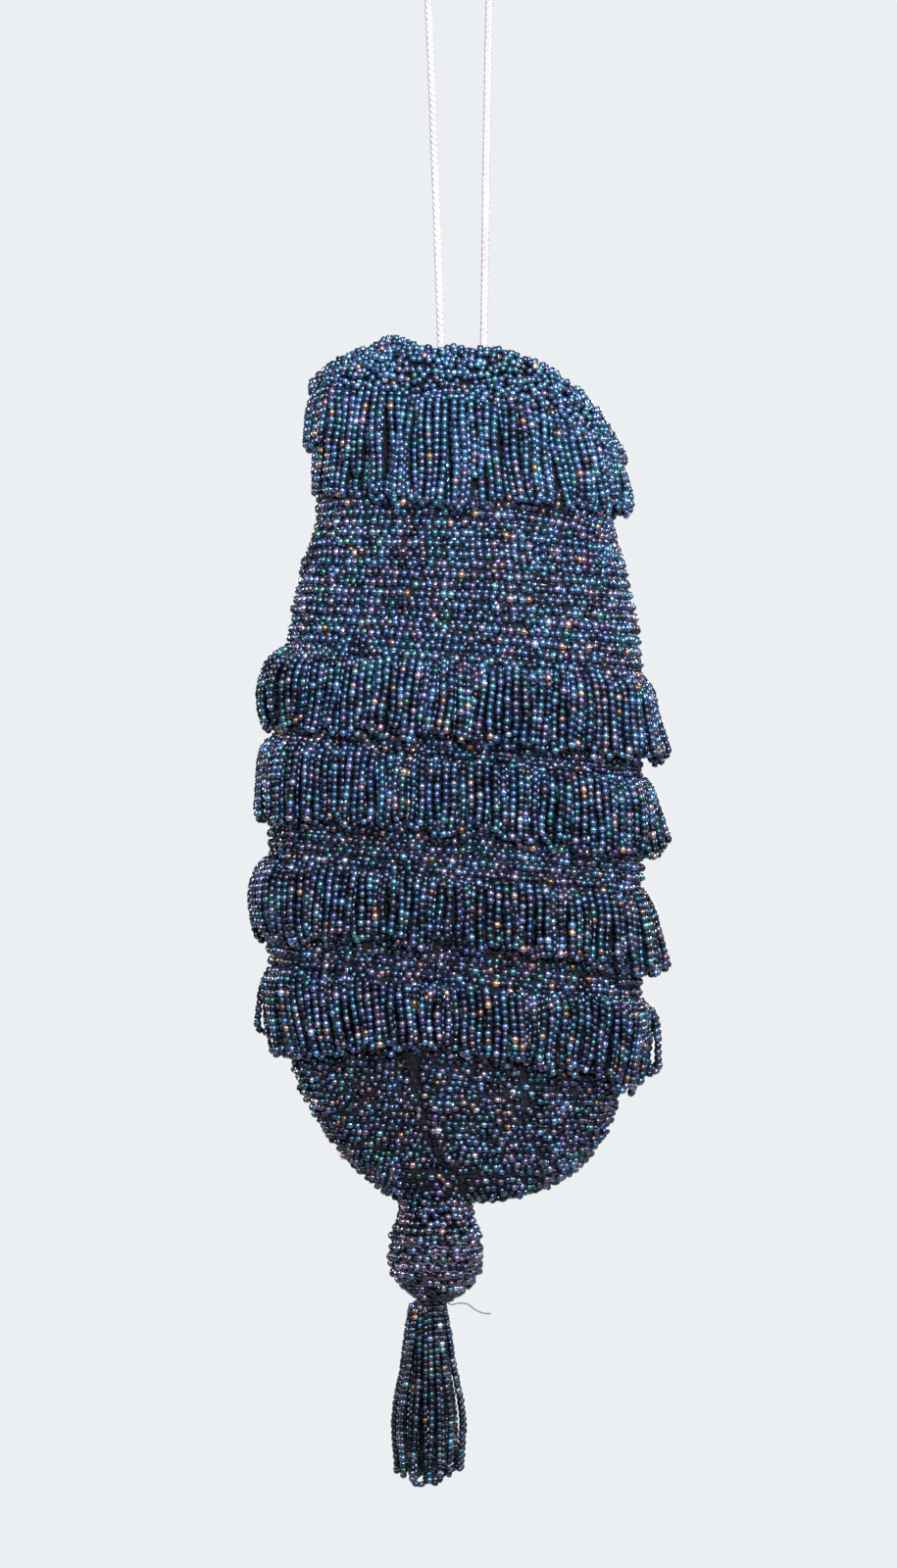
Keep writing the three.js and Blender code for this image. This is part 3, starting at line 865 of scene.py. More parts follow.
# What all loops share. Pairs are the least and the most of a random value.
loops = {
    "pitch": 1.95,
    "beadWidth": 2.12,
    "beadLength": 1.86,
    "beadTipped": 0.1,
    "firstBead": (0.2, 0.9),
    "strand": 2.16,  # how far apart the two legs of a loop begin
    "startOut": -0.3,
    "settleOver": 2.2,  # the length in which a leg comes out to its layer
    "topSpread": 1,
    "lengthSpread": 1.9,
    "outSpread": 0.4,
    "footSpread": (1, 1.5),
    "wobble": 0.35,
    "waves": (0.6, 1.4),
    "leanSpread": 0.034,
    "middleFlare": 0.5,
    "flareShare": (0.5, 0.95),
    # Powers: the higher, the later along a leg it opens, flares, twists or wavers
    "openPower": 1.5,
    "flarePower": 1.2,
    "twistPower": 1.3,
    "wobblePower": 0.5,
    "bowPeak": 0.9,  # the lower, the higher up a bow is at its fullest
    "bowPower": 0.8,  # the lower, the fuller a bow is
    "footAngle": 80,  # half the arc of a foot in degrees, and the points on it
    "footPoints": 9,
    "freeRoom": 0.01,  # the turns beside a free loop that other outer loops keep off
    "samples": 26,
    "sides": 6,
    "freeSides": 8,
}

# The outer layer of loops, then the inner one. Twists are radians, in the middle of the pouch's
# sides and at its ends.
layers = [
    {"spacing": 4.428, "out": 2.5, "twist": 0.6, "endTwist": 1.1},
    {"spacing": 4.8, "out": 0.8, "twist": 0.4, "endTwist": 0.6},
]


def bySide(row, turn):
    side = np.cos(fullTurn * np.asarray(turn))
    ends = np.where(side > 0, row["right"], row["left"])
    return row["middle"] + (ends - row["middle"]) * side * side


def tierHeights(row, turn):
    top = (
        -pouch["hang"]
        - pouch["length"] * row["start"]
        - pouch["width"] * row["tilt"] * np.cos(fullTurn * np.asarray(turn)) / 2
    )
    return top, top - pouch["length"] * bySide(row, turn)


def cuffHeights(row, turn):
    top = rimHeightAt(turn) - row["heading"] * bySide(row["headingShares"], turn)
    return top, -pouch["hang"] - pouch["length"] * bySide(row, turn)


# How much a turn belongs to one of the pouch's two ends, from 0 to 1
def endShare(turn):
    return math.cos(fullTurn * turn) ** 4


# The line of a loop of beads: down one leg, round its foot and up the other. Its columns are
# across, down and out. Gap is half its width, and turned its twist, both along the leg.
def loopLine(across, down, out, gap, turned):
    foot = np.radians(np.linspace(-loops["footAngle"], loops["footAngle"], loops["footPoints"]))
    reach = gap[-1] * np.sin(foot) / math.sin(foot[-1])
    bottom = np.stack([
        across[-1] + reach * math.cos(turned[-1]),
        down[-1] + gap[-1] * (np.cos(foot) - math.cos(foot[0])),
        out[-1] + reach * math.sin(turned[-1]),
    ], 1)

    def legOf(sign):
        return np.stack([across + sign * gap * np.cos(turned), down, out + sign * gap * np.sin(turned)], 1)

    return np.concatenate([legOf(-1)[:-1], bottom, legOf(1)[::-1][1:]])


# A loop that hangs beside the pouch from top to hem. Hang holds its own way of hanging: out to its
# layer, spread of its foot, twist, lean, and its share of the row's flare.
def hangingLoop(row, turn, top, hem, hang, chance):
    share = np.linspace(0, 1, loops["samples"])
    side = "Right" if math.cos(fullTurn * turn) > 0 else "Left"
    flare = loops["middleFlare"] + hang["flareShare"] * endShare(turn) * row["flare" + side]
    bow = endShare(turn) * row["bow" + side]
    leg = top - hem - hang["spread"]
    phase = chance.uniform(0, fullTurn)
    waves = chance.uniform(*loops["waves"])
    wave = np.sin(phase + fullTurn * waves * share) - math.sin(phase)
    wobble = row.get("wobble", loops["wobble"]) * wave * share ** loops["wobblePower"]
    halfStrand = loops["strand"] / 2
    gap = halfStrand + (hang["spread"] - halfStrand) * share ** loops["openPower"]
    settled = 1 - np.exp(-share * leg / loops["settleOver"])
    out = loops["startOut"] + (hang["out"] - loops["startOut"]) * settled
    bowed = np.sin(math.pi * share ** loops["bowPeak"]) ** loops["bowPower"]
    out = out + flare * share ** loops["flarePower"] + bow * bowed
    across = hang["lean"] * leg * share + wobble
    turned = hang["twist"] * share ** loops["twistPower"]
    line = loopLine(across, leg * share, out, gap, turned)
    height = top - line[:, 1]
    clear = np.maximum(line[:, 2], loops["startOut"])
    halfWidth, halfDepth, _ = formAt(reachAtHeight(height))
    acrossRate = (halfWidth + clear) * math.sin(fullTurn * turn)
    throughRate = (halfDepth + clear) * math.cos(fullTurn * turn)
    rate = fullTurn * np.hypot(acrossRate, throughRate)
    return besidePouch(height, turn + line[:, 0] / rate, clear)


# How much shorter an outer loop is than its row says
def shortening(row, turn, chance):
    shorter = 0.0
    if "shortLeft" in row:
        away = abs(turn - row["shortTurn"])
        shorter = row["shortLeft"] * np.interp(away, row["shortFade"], (1, 0))
    if chance.random() < row.get("shortShare", 0) * (1 - endShare(turn)):
        shorter += chance.uniform(*row["shortBy"])
    return shorter


def layerLines(row, heights, lean, layer, freeTurns, chance):
    outer = layer is layers[0]

    def ring(turn):
        return besidePouch(heights(row, turn)[0], turn, layer["out"])

    lines = []
    for turn in evenTurns(ring, layer["spacing"], chance.random()):
        beside = [abs((turn - free + 0.5) % 1 - 0.5) < loops["freeRoom"] for free in freeTurns]
        if outer and any(beside):
            continue
        top, hem = heights(row, turn)
        if outer:
            hem += shortening(row, turn, chance)
        top += chance.uniform(-1, 1) * loops["topSpread"]
        hem += chance.uniform(-1, 1) * loops["lengthSpread"]
        twist = layer["twist"] + (layer["endTwist"] - layer["twist"]) * endShare(turn)
        hang = {
            "out": layer["out"] + chance.uniform(-loops["outSpread"], loops["outSpread"]),
            "spread": chance.uniform(*loops["footSpread"]),
            "twist": chance.uniform(-twist, twist),
            "lean": lean(turn) + chance.normal(0, row.get("leanSpread", loops["leanSpread"])),
            "flareShare": chance.uniform(*loops["flareShare"]),
        }
        lines.append(hangingLoop(row, turn, top, hem, hang, chance))
    return lines


def freeLines(row, heights, freeLoops, chance):
    straight = {**row, "bowLeft": 0, "bowRight": 0}
    lines = []
    for free in freeLoops:
        top, hem = heights(row, free["turn"])
        side = "Right" if math.cos(fullTurn * free["turn"]) > 0 else "Left"
        hang = {
            "out": free["out"] - loops["middleFlare"] - row["flare" + side],
            "spread": free["spread"],
            "twist": free["twist"],
            "lean": 0,
            "flareShare": 1,
        }
        lines.append(hangingLoop(straight, free["turn"], top, hem + free["lift"], hang, chance))
    return lines


def beadsAlong(lines, sides, kind, chance):
    centres, axes = [], []
    for line in lines:
        places = evenly(line, loops["pitch"], chance.uniform(*loops["firstBead"]))
        centres.append(places)
        axes.append(np.gradient(places, axis=0))
    centres = np.concatenate(centres)
    axes = unit(np.concatenate(axes)) + chance.normal(0, loops["beadTipped"], centres.shape)
    size = (loops["beadWidth"], loops["beadLength"])
    return strungBeads(beadShapes[sides], centres, axes, *size, kind, chance)


def fringeStrings(row, heights, lean):
    chance = np.random.default_rng(row["seed"])
    freeLoops = row.get("freeLoops", ())
    freeTurns = [free["turn"] for free in freeLoops]
    strings = []
    for layer in layers:
        lines = layerLines(row, heights, lean, layer, freeTurns, chance)
        strings.append(beadsAlong(lines, loops["sides"], row["beads"], chance))
    if freeLoops:
        lines = freeLines(row, heights, freeLoops, chance)
        strings.append(beadsAlong(lines, loops["freeSides"], row["beads"], chance))
    return strings


def noLean(turn):
    return 0.0


def makeTiers():
    for number, row in enumerate(tiers, 2):
        strings = fringeStrings(row, tierHeights, noLean)
        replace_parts(makeBeads(f"tier_{number}_loops", strings), row["node"])


# The front loops of the cuff lean towards the right end, the back ones the same way
def cuffLean(turn):
    share = np.interp(math.cos(fullTurn * turn), cuff["leanAt"], cuff["lean"])
    return -share if turn < 0.5 else share


# The cuff's heading: rows from just under the rim down over the tops of the loops, then rows over
# the rim and behind it, each a drop below the rim and a distance out
cuffHeading = {
    "seed": 31,
    "rows": 12,
    "belowRim": 0.6,
    "overlap": 1,
    "waver": 0.25,
    "waves": 40,
    "waveShift": 2,  # from row to row
    "innermost": 0.1,  # how far out the first row lies, and each of the next ones more
    "outStep": 0.55,
    "outSteps": 3,
    "overRim": [(-0.5, -0.5), (0.4, -2), (2.3, -2.9), (4.3, -3.1)],
    "behind": (0.54, 0.97),  # the turns between which the rows behind the rim show
    "pitch": 1.75,
    "beadWidth": 2.15,
    "closest": 1.15,
    "jitter": 0.3,
    "rimJitter": 0.2,
    "tipped": 0.8,
}


# The direction of a ring at its turns
def alongRing(ring, turns):
    slip = 0.002
    return unit(ring(turns + slip) - ring(turns - slip))


def makeCuff():
    heading = cuffHeading
    chance = np.random.default_rng(heading["seed"])
    strings = fringeStrings(cuff, cuffHeights, cuffLean)
    centres, axes = [], []
    for k in range(heading["rows"]):
        def ring(turn):
            foot = cuffHeights(cuff, turn)[0] - heading["overlap"]
            rim = rimHeightAt(turn) - heading["belowRim"]
            waver = heading["waver"] * np.sin(heading["waves"] * turn + heading["waveShift"] * k)
            share = (k + waver) / (heading["rows"] - 1)
            out = heading["innermost"] + heading["outStep"] * min(k, heading["outSteps"])
            return besidePouch(rim + (foot - rim) * share, turn, out)

        turns = evenTurns(ring, heading["pitch"], chance.random())
        centres.append(ring(turns) + chance.normal(0, heading["jitter"], (len(turns), 3)))
        axes.append(alongRing(ring, turns))
    for k, (drop, out) in enumerate(heading["overRim"]):
        def ring(turn):
            return besidePouch(rimHeightAt(turn) - drop, turn, out)

        turns = evenTurns(ring, heading["pitch"], chance.random())
        first, last = heading["behind"]
        turns = turns[(turns > first) & (turns < last)] if k else turns
        centres.append(ring(turns) + chance.normal(0, heading["rimJitter"], (len(turns), 3)))
        axes.append(alongRing(ring, turns))
    centres = np.concatenate(centres)
    axes = np.concatenate(axes)
    kept = thinned(centres, heading["closest"])
    axes = axes[kept] + chance.normal(0, heading["tipped"], axes[kept].shape)
    size = (heading["beadWidth"], pouchRows["beadLength"])
    strings.append(strungBeads(beadShapes[loops["sides"]], centres[kept], axes, *size, "cuff", chance))
    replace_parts(makeBeads("cuff_loops", strings), "cuff_fringe")


# Rows of beads crocheted into the pouch, with deeper ones between those of its upper part, whose darker glass
# is painted shade between the rows

pouchRows = {
    "seed": 11,
    "start": 0.6,  # how far the first row is from the rim, and the last one from the lowest point
    "end": 1,
    "nearest": 0.5,
    "pitch": 2.9,
    "lowerPitch": 1.95,
    "middleFrom": 0.4,
    "lowerFrom": 0.8,
    "hiddenFrom": 4.5,  # how far above the foot of loops its beads go on behind them
    "hiddenBelow": 2,  # how far under the top of loops they begin to be left out
    "beadPitch": 1.97,
    "beadWidth": 2.6,
    "middleBeadWidth": 2.4,
    "lowerBeadWidth": 2.05,
    "jitter": 0.2,
    "lowerJitter": 0.3,
    "tipped": 0.4,
    "betweenSunk": 2,
    "betweenPitch": 2.3,
    "betweenWidth": 2.2,
    "beadLength": 1.86,
    "sides": 6,
    "sunk": 1.2,
    "closest": 1.55,
    "tiltLevel": [0, 0.25, 0.366, 0.476, 0.614, 0.741, 0.86, 0.95, 1],
    "tilt": [0, 0.03, 0.082, 0.105, 0.09, 0.086, 0.05, 0.01, 0],
}


def rowLine(reach):
    level = np.interp(reach, profileReach, pouch["down"])
    slope = pouch["width"] / 2 * np.interp(level, pouchRows["tiltLevel"], pouchRows["tilt"])

    def at(turn):
        return np.clip(reach + slope * np.cos(fullTurn * turn), 0, profileReach[-1] - pouchRows["nearest"])

    return at


# Which points of a row are seen, and not hidden under the cuff or the loops of a tier
def shownOnRow(points, turn, margin):
    height = points[:, 2]
    shown = height < cuffHeights(cuff, turn)[1] + margin
    for row in tiers:
        top, hem = tierHeights(row, turn)
        shown &= (height > top - pouchRows["hiddenBelow"]) | (height < hem + margin)
    return shown


# Which points stay when those too close to an earlier one are left out
def thinned(points, closest):
    cells = {}
    kept = np.zeros(len(points), bool)
    keys = np.floor(points / closest).astype(int)
    steps = [(i, j, k) for i in (-1, 0, 1) for j in (-1, 0, 1) for k in (-1, 0, 1)]
    for n, (point, (i, j, k)) in enumerate(zip(points, keys)):
        near = [p for step in steps for p in cells.get((i + step[0], j + step[1], k + step[2]), ())]
        if all(np.dot(point - p, point - p) > closest * closest for p in near):
            cells.setdefault((i, j, k), []).append(point)
            kept[n] = True
    return kept


def rowBeads(reach, sunk, pitch, chance):
    at = rowLine(reach)

    def ring(turn):
        return skinPoint(at(turn), turn)

    turns = evenTurns(ring, pitch, chance.random())
    points = ring(turns)
    shown = shownOnRow(points, turns, pouchRows["hiddenFrom"])
    shown &= ~inGroove((-pouch["hang"] - points[:, 2]) / pouch["length"], turns)
    return (points - sunk * skinNormal(at(turns), turns))[shown], alongRing(ring, turns)[shown]


def makePouchBeads():
    chance = np.random.default_rng(pouchRows["seed"])
    rows = {"upper": [], "middle": [], "between": [], "lower": []}
    reach = pouchRows["start"]
    while reach < profileReach[-1] - pouchRows["end"]:
        level = np.interp(reach, profileReach, pouch["down"])
        lower = level > pouchRows["lowerFrom"]
        pitch = pouchRows["lowerPitch" if lower else "pitch"]
        row = rowBeads(reach, pouchRows["sunk"], pouchRows["beadPitch"], chance)
        name = "upper" if level < pouchRows["middleFrom"] else "middle"
        rows["lower" if lower else name].append(row)
        if not lower:
            sunk, spacing = pouchRows["betweenSunk"], pouchRows["betweenPitch"]
            rows["between"].append(rowBeads(reach + pitch / 2, sunk, spacing, chance))
        reach += pitch
    kinds = [
        ("upper", pouchRows["beadWidth"], "pouch"),
        ("middle", pouchRows["middleBeadWidth"], "lower"),
        ("between", pouchRows["betweenWidth"], "between"),
        ("lower", pouchRows["lowerBeadWidth"], "lower"),
    ]
    for name, width, kind in kinds:
        centres = np.concatenate([row[0] for row in rows[name]])
        axes = np.concatenate([row[1] for row in rows[name]])
        kept = thinned(centres, pouchRows["closest"])
        jitter = pouchRows["lowerJitter" if name == "lower" else "jitter"]
        centres = centres[kept] + chance.normal(0, jitter, (kept.sum(), 3))
        axes = unit(axes[kept]) + chance.normal(0, pouchRows["tipped"], (kept.sum(), 3))
        shape = beadShapes[pouchRows["sides"]]
        beads = strungBeads(shape, centres, axes, width, pouchRows["beadLength"], kind, chance)
        makeBeads("pouch_beads_" + name, [beads])


# The crocheted cloth: a grid rolled up into the pouch, welded, and given its thickness

clothGrid = {"columns": 96, "rows": 66, "sunk": 1.45, "thickness": 0.9, "weld": 0.02, "nearest": 0.5}
cuffCloth = {
    "rows": 8,
    "thickness": 0.7,
    "overlap": 2,  # how far it goes down past the tops of the loops
    "rise": 0.4,
    "inner": -1.9,  # how far out it begins, and how far it comes out over the rim
    "folded": 2,
    "foldShare": 0.25,
}


def rolledCloth(name, columns, rows, place, thickness):
    bpy.ops.object.select_all(action="DESELECT")
    bpy.ops.mesh.primitive_grid_add(x_subdivisions=columns, y_subdivisions=rows, size=1)
    cloth = bpy.context.object
    cloth.name = name
    cloth.data.name = name
    flat = np.array([vertex.co for vertex in cloth.data.vertices])
    points = place(flat[:, 0] + 0.5, 0.5 - flat[:, 1])
    cloth.data.vertices.foreach_set("co", (points * mm).ravel())
    bpy.ops.object.mode_set(mode="EDIT")
    bpy.ops.mesh.select_all(action="SELECT")
    bpy.ops.mesh.remove_doubles(threshold=clothGrid["weld"] * mm)
    bpy.ops.mesh.normals_make_consistent(inside=False)
    bpy.ops.object.mode_set(mode="OBJECT")
    front = min(cloth.data.polygons, key=lambda face: face.center.y)
    if front.normal.y > 0:
        cloth.data.flip_normals()
    solid = cloth.modifiers.new("thickness", "SOLIDIFY")
    solid.thickness = thickness * mm
    solid.offset = -1
    applyModifiers(cloth)
    bpy.ops.object.shade_smooth()
    cloth.data.materials.append(crochetThread)
    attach(cloth, "root")
    return cloth


def makeCloth():
    columns = clothGrid["columns"]

    def pouchPlace(turn, share):
        reach = share * profileReach[-1]
        inward = skinNormal(np.maximum(reach, clothGrid["nearest"]), turn)
        return skinPoint(reach, turn) - clothGrid["sunk"] * inward

    cloth = rolledCloth("pouch_cloth", columns, clothGrid["rows"], pouchPlace, clothGrid["thickness"])
    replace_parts(cloth, "bag_body")

    # Over the rim from its inside, and down behind the cuff's heading
    def cuffPlace(turn, share):
        rim = rimHeightAt(turn)
        foot = cuffHeights(cuff, turn)[0] - cuffCloth["overlap"]
        folded = np.sin(np.minimum(share / cuffCloth["foldShare"], 1) * math.pi / 2)
        height = rim + cuffCloth["rise"] * (1 - folded) + (foot - rim) * share
        return besidePouch(height, turn, cuffCloth["inner"] + cuffCloth["folded"] * folded)

    rolledCloth("cuff_cloth", columns, cuffCloth["rows"], cuffPlace, cuffCloth["thickness"])
    print("cloth")


makeCloth()
makePouchBeads()
makeTiers()
makeCuff()


# The ball under the pouch, and the tassel under the ball

ball = {
    "seed": 51,
    "diameter": 26.4,
    "centre": (-6.35, 0, -357.9),
    "beadDepth": 1.1,
    "rowPitch": 2.3,
    "beadWidth": 2.2,
    "sides": 8,
    "jitter": 0.27,
    "tipped": 0.7,
    "endOn": 0.2,  # the share of beads that show their hole
    "fewest": 3,  # beads in a row
    # Rows of the neck that joins it to the pouch: height above the ball's centre, and radius
    "neck": [(5.6, 11.6), (7.6, 11), (9.6, 9.9), (11.6, 9.5), (13.4, 9.3), (15, 9.2)],
    "neckFrom": 0.37,  # the ball's own rows begin this far down it, as a share of its height
    # The thread between rows zigzags from stitch to stitch. Wave and waver are radians.
    "thread": {
        "radius": 0.32, "sides": 4, "out": 0.1, "stitch": 1.3, "fewest": 8, "wave": 0.02, "waver": 0.025,
    },
    # The core. Its two ends, from shares of the ball's radius on, are widened about widerAt, and
    # the upper one is raised into the neck.
    "core": {
        "sunk": 1.6, "segments": 32, "rings": 20,
        "topFrom": 0.81, "footFrom": 0.828, "widerAt": 0.9, "widerTop": 1.25, "widerFoot": 1.2, "raised": 0.9,
    },
}


def circle(angles):
    return np.stack([np.cos(angles), np.sin(angles), np.zeros(len(angles))], 1)


# Directions out to the beads of a closed row, and along it
def roundRow(length, chance):
    around = max(ball["fewest"], round(length / pouchRows["beadPitch"]))
    angles = fullTurn * (np.arange(around) + chance.random()) / around
    return circle(angles), circle(angles + math.pi / 2)


def zigzagThread(centre, radius, polar, chance):
    thread = ball["thread"]
    count = max(thread["fewest"], round(fullTurn * radius * math.sin(polar) / thread["stitch"]))
    wave = thread["wave"] * np.where(np.arange(count) % 2, 1, -1) + chance.normal(0, thread["waver"], count)
    tilt = (polar + wave)[:, None]
    facing = circle(fullTurn * np.arange(count) / count) * np.sin(tilt) + np.array([0, 0, 1]) * np.cos(tilt)
    line = centre + (radius + thread["out"]) * facing
    return tube(line, thread["radius"], thread["sides"], sides=facing, closed=True)


def makeBallCore(centre):
    core = ball["core"]
    radius = ball["diameter"] / 2 * mm
    bpy.ops.object.select_all(action="DESELECT")
    bpy.ops.mesh.primitive_uv_sphere_add(
        segments=core["segments"], ring_count=core["rings"], radius=radius - core["sunk"] * mm
    )
    piece = bpy.context.object
    piece.name = piece.data.name = "ball_core"
    bpy.ops.object.mode_set(mode="EDIT")
    bpy.ops.mesh.select_mode(type="VERT")
    end = core["widerAt"] * radius
    selectVertices(piece, lambda co: co.z > core["topFrom"] * radius)
    bpy.ops.transform.resize(value=(core["widerTop"], core["widerTop"], 1), center_override=(0, 0, end))
    bpy.ops.transform.translate(value=(0, 0, core["raised"] * mm))
    selectVertices(piece, lambda co: co.z < -core["footFrom"] * radius)
    bpy.ops.transform.resize(value=(core["widerFoot"], core["widerFoot"], 1), center_override=(0, 0, -end))
    bpy.ops.object.mode_set(mode="OBJECT")
    points = np.array([vertex.co for vertex in piece.data.vertices]) + centre * mm
    piece.data.vertices.foreach_set("co", points.ravel())
    bpy.ops.object.shade_smooth()
    piece.data.materials.append(crochetThread)
    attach(piece, "root")


def makeBall():
    chance = np.random.default_rng(ball["seed"])
    radius = ball["diameter"] / 2 - ball["beadDepth"]
    centre = np.array(ball["centre"])
    rows = round(math.pi * radius / ball["rowPitch"])
    centres, axes, threads = [], [], []
    for k in range(round(rows * ball["neckFrom"]), rows):
        polar = math.pi * (k + 0.5) / rows
        out, along = roundRow(fullTurn * radius * math.sin(polar), chance)
        centres.append(centre + radius * (out * math.sin(polar) + [0, 0, math.cos(polar)]))
        axes.append(along)
        threads.append(zigzagThread(centre, radius, math.pi * k / rows, chance))
    for height, neckRadius in ball["neck"]:
        out, along = roundRow(fullTurn * neckRadius, chance)
        centres.append(centre + neckRadius * out + [0, 0, height])
        axes.append(along)
    centres = np.concatenate(centres)
    axes = np.concatenate(axes)
    centres = centres + chance.normal(0, ball["jitter"], centres.shape)
    axes = axes + chance.normal(0, ball["tipped"], axes.shape)
    turnedOut = chance.random(len(axes)) < ball["endOn"]
    axes[turnedOut] = (centres - centre)[turnedOut]
    size = (ball["beadWidth"], pouchRows["beadLength"])
    beads = strungBeads(beadShapes[ball["sides"]], centres, axes, *size, "ball", chance)
    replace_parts(makeBeads("ball_beads", [beads]), "beaded_ball")
    piece = makeMesh("ball_threads", *gather(threads), ballThread)
    makeBallCore(centre)
    print("ball")


tassel = {
    "seed": 61,
    "x": -8.7,
    "top": -371.2,
    "length": 49.2,
    "pitch": 1.68,
    "beadWidth": 1.85,
    "beadLength": 1.6,
    "beadTipped": 0.1,
    "sides": 7,
    "samples": 40,
    "threadLength": 0.4,
    "firstBead": (0, 0.5),
    "strand": 0.86,  # half the distance between the legs of a loop at its top
    "opening": 3,  # the higher, the nearer to its foot a loop opens
    "sway": 0.35,
    "swayWaves": 5,
    "twist": 0.6,
    # Threads from the knot to each leg, and the loose ends that show between the loops. FootX and
    # footY are what the place of an end's top is multiplied by at its foot.
    "knot": {"above": 1.2, "narrowed": 0.5, "bulge": 0.3, "radius": 0.2, "sides": 5, "step": 0.6},
    "ends": {
        "count": 14, "inner": 0.5, "outer": 4.2, "above": 1, "shortest": 4, "longest": 7,
        "footX": 1.02, "footY": 1.1, "bend": 0.2, "radius": 0.3, "sides": 5, "step": 0.8,
    },
    # How far from its middle the outer loops hang, at shares of their length
    "shares": [0, 0.12, 0.37, 0.72, 1],
    "radii": [4.3, 5.2, 6.7, 9.1, 8.4],
    # Each loop's place round the tassel in turns, how far out it hangs as a share of the radii,
    # its length as a share of the tassel's, and half the width of its foot
    "loops": [
        {"turn": 0.0, "out": 1.08, "length": 0.93, "open": 1.2},
        {"turn": 0.1, "out": 0.9, "length": 0.95, "open": 1.8},
        {"turn": 0.2, "out": 0.96, "length": 0.985, "open": 1.5},
        {"turn": 0.29, "out": 0.9, "length": 1, "open": 2.3},
        {"turn": 0.39, "out": 1, "length": 0.955, "open": 1.8},
        {"turn": 0.49, "out": 1, "length": 0.94, "open": 1.9},
        {"turn": 0.6, "out": 0.97, "length": 0.96, "open": 1.8},
        {"turn": 0.7, "out": 0.95, "length": 0.97, "open": 1.9},
        {"turn": 0.8, "out": 0.97, "length": 0.96, "open": 1.8},
        {"turn": 0.9, "out": 0.95, "length": 0.95, "open": 1.8},
        {"turn": 0.05, "out": 0.52, "length": 0.95, "open": 1.6},
        {"turn": 0.24, "out": 0.55, "length": 0.98, "open": 1.7},
        {"turn": 0.44, "out": 0.52, "length": 0.96, "open": 1.6},
        {"turn": 0.64, "out": 0.55, "length": 0.95, "open": 1.7},
        {"turn": 0.84, "out": 0.52, "length": 0.97, "open": 1.6},
        {"turn": 0.3, "out": 0.15, "length": 0.95, "open": 1.6},
        {"turn": 0.15, "out": 0.76, "length": 0.96, "open": 1.3},
        {"turn": 0.34, "out": 0.74, "length": 0.97, "open": 1.3},
        {"turn": 0.75, "out": 0.72, "length": 0.95, "open": 1.4},
        {"turn": 0.93, "out": 0.3, "length": 0.96, "open": 1.4},
        {"turn": 0.55, "out": 0.32, "length": 0.97, "open": 1.4},
    ],
}


def tasselLine(row, chance):
    share = np.linspace(0, 1, tassel["samples"])
    leg = tassel["length"] * row["length"] - tassel["threadLength"] - row["open"]
    out = row["out"] * smoothAt(share, tassel["shares"], tassel["radii"])
    gap = tassel["strand"] + (row["open"] - tassel["strand"]) * share ** tassel["opening"]
    phase = chance.uniform(0, fullTurn)
    sway = tassel["sway"] * (np.sin(phase + tassel["swayWaves"] * share) - math.sin(phase)) * share
    turned = chance.uniform(-tassel["twist"], tassel["twist"]) * share
    across, down, away = loopLine(sway, tassel["threadLength"] + leg * share, out, gap, turned).T
    angle = fullTurn * row["turn"]
    x = away * math.cos(angle) + across * math.sin(angle)
    y = across * math.cos(angle) - away * math.sin(angle)
    return np.stack([x, y, -down], 1) + [tassel["x"], 0, tassel["top"]]


def knotThread(end, knot):
    middle = np.array([tassel["x"], 0, tassel["top"] + knot["above"]])
    start = middle + (end - [tassel["x"], 0, end[2]]) * knot["narrowed"]
    bulge = (start + end) / 2 + [0, 0, knot["bulge"]]
    return tube(smoothRoute([start, bulge, end], knot["step"]), knot["radius"], knot["sides"])


def looseEnd(ends, chance):
    angle = chance.uniform(0, fullTurn)
    out = chance.uniform(ends["inner"], ends["outer"])
    top = [tassel["x"] + out * math.cos(angle), out * math.sin(angle), tassel["top"] + ends["above"]]
    low = tassel["top"] - chance.uniform(ends["shortest"], ends["longest"])
    foot = [top[0] * ends["footX"], top[1] * ends["footY"], low]
    middle = np.add(top, foot) / 2 + chance.normal(0, ends["bend"], 3)
    return tube(smoothRoute([top, middle, foot], ends["step"]), ends["radius"], ends["sides"])


def makeTassel():
    chance = np.random.default_rng(tassel["seed"])
    size = (tassel["beadWidth"], tassel["beadLength"])
    strings, threads = [], []
    for row in tassel["loops"]:
        line = tasselLine(row, chance)
        places = evenly(line, tassel["pitch"], chance.uniform(*tassel["firstBead"]))
        axes = unit(np.gradient(places, axis=0)) + chance.normal(0, tassel["beadTipped"], places.shape)
        strings.append(strungBeads(beadShapes[tassel["sides"]], places, axes, *size, "tassel", chance))
        threads += [knotThread(end, tassel["knot"]) for end in (line[0], line[-1])]
    threads += [looseEnd(tassel["ends"], chance) for _ in range(tassel["ends"]["count"])]
    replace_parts(makeBeads("tassel_loops", strings), "tassel")
    piece = makeMesh("tassel_threads", *gather(threads), looseThread)
    print("tassel")


# The loose end of thread at the ball's lower right
threadEnd = {
    "radius": 0.16,
    "sides": 5,
    "step": 0.4,
    "route": [
        (-3.6, -8.6, -369.6), (-2.2, -9.4, -370.4), (0.2, -9.8, -370), (2.2, -10, -370.2),
        (4.6, -10.2, -371.8), (6.6, -10.1, -372.7), (8.9, -10, -372.9),
    ],
}


def makeThreadEnd():
    line = smoothRoute(threadEnd["route"], threadEnd["step"])
    points, faces = tube(line, threadEnd["radius"], threadEnd["sides"])
    makeMesh("thread_end", points, faces, looseThread)


makeBall()
makeTassel()
makeThreadEnd()


# The drawstring's held run, round the inside of the mouth

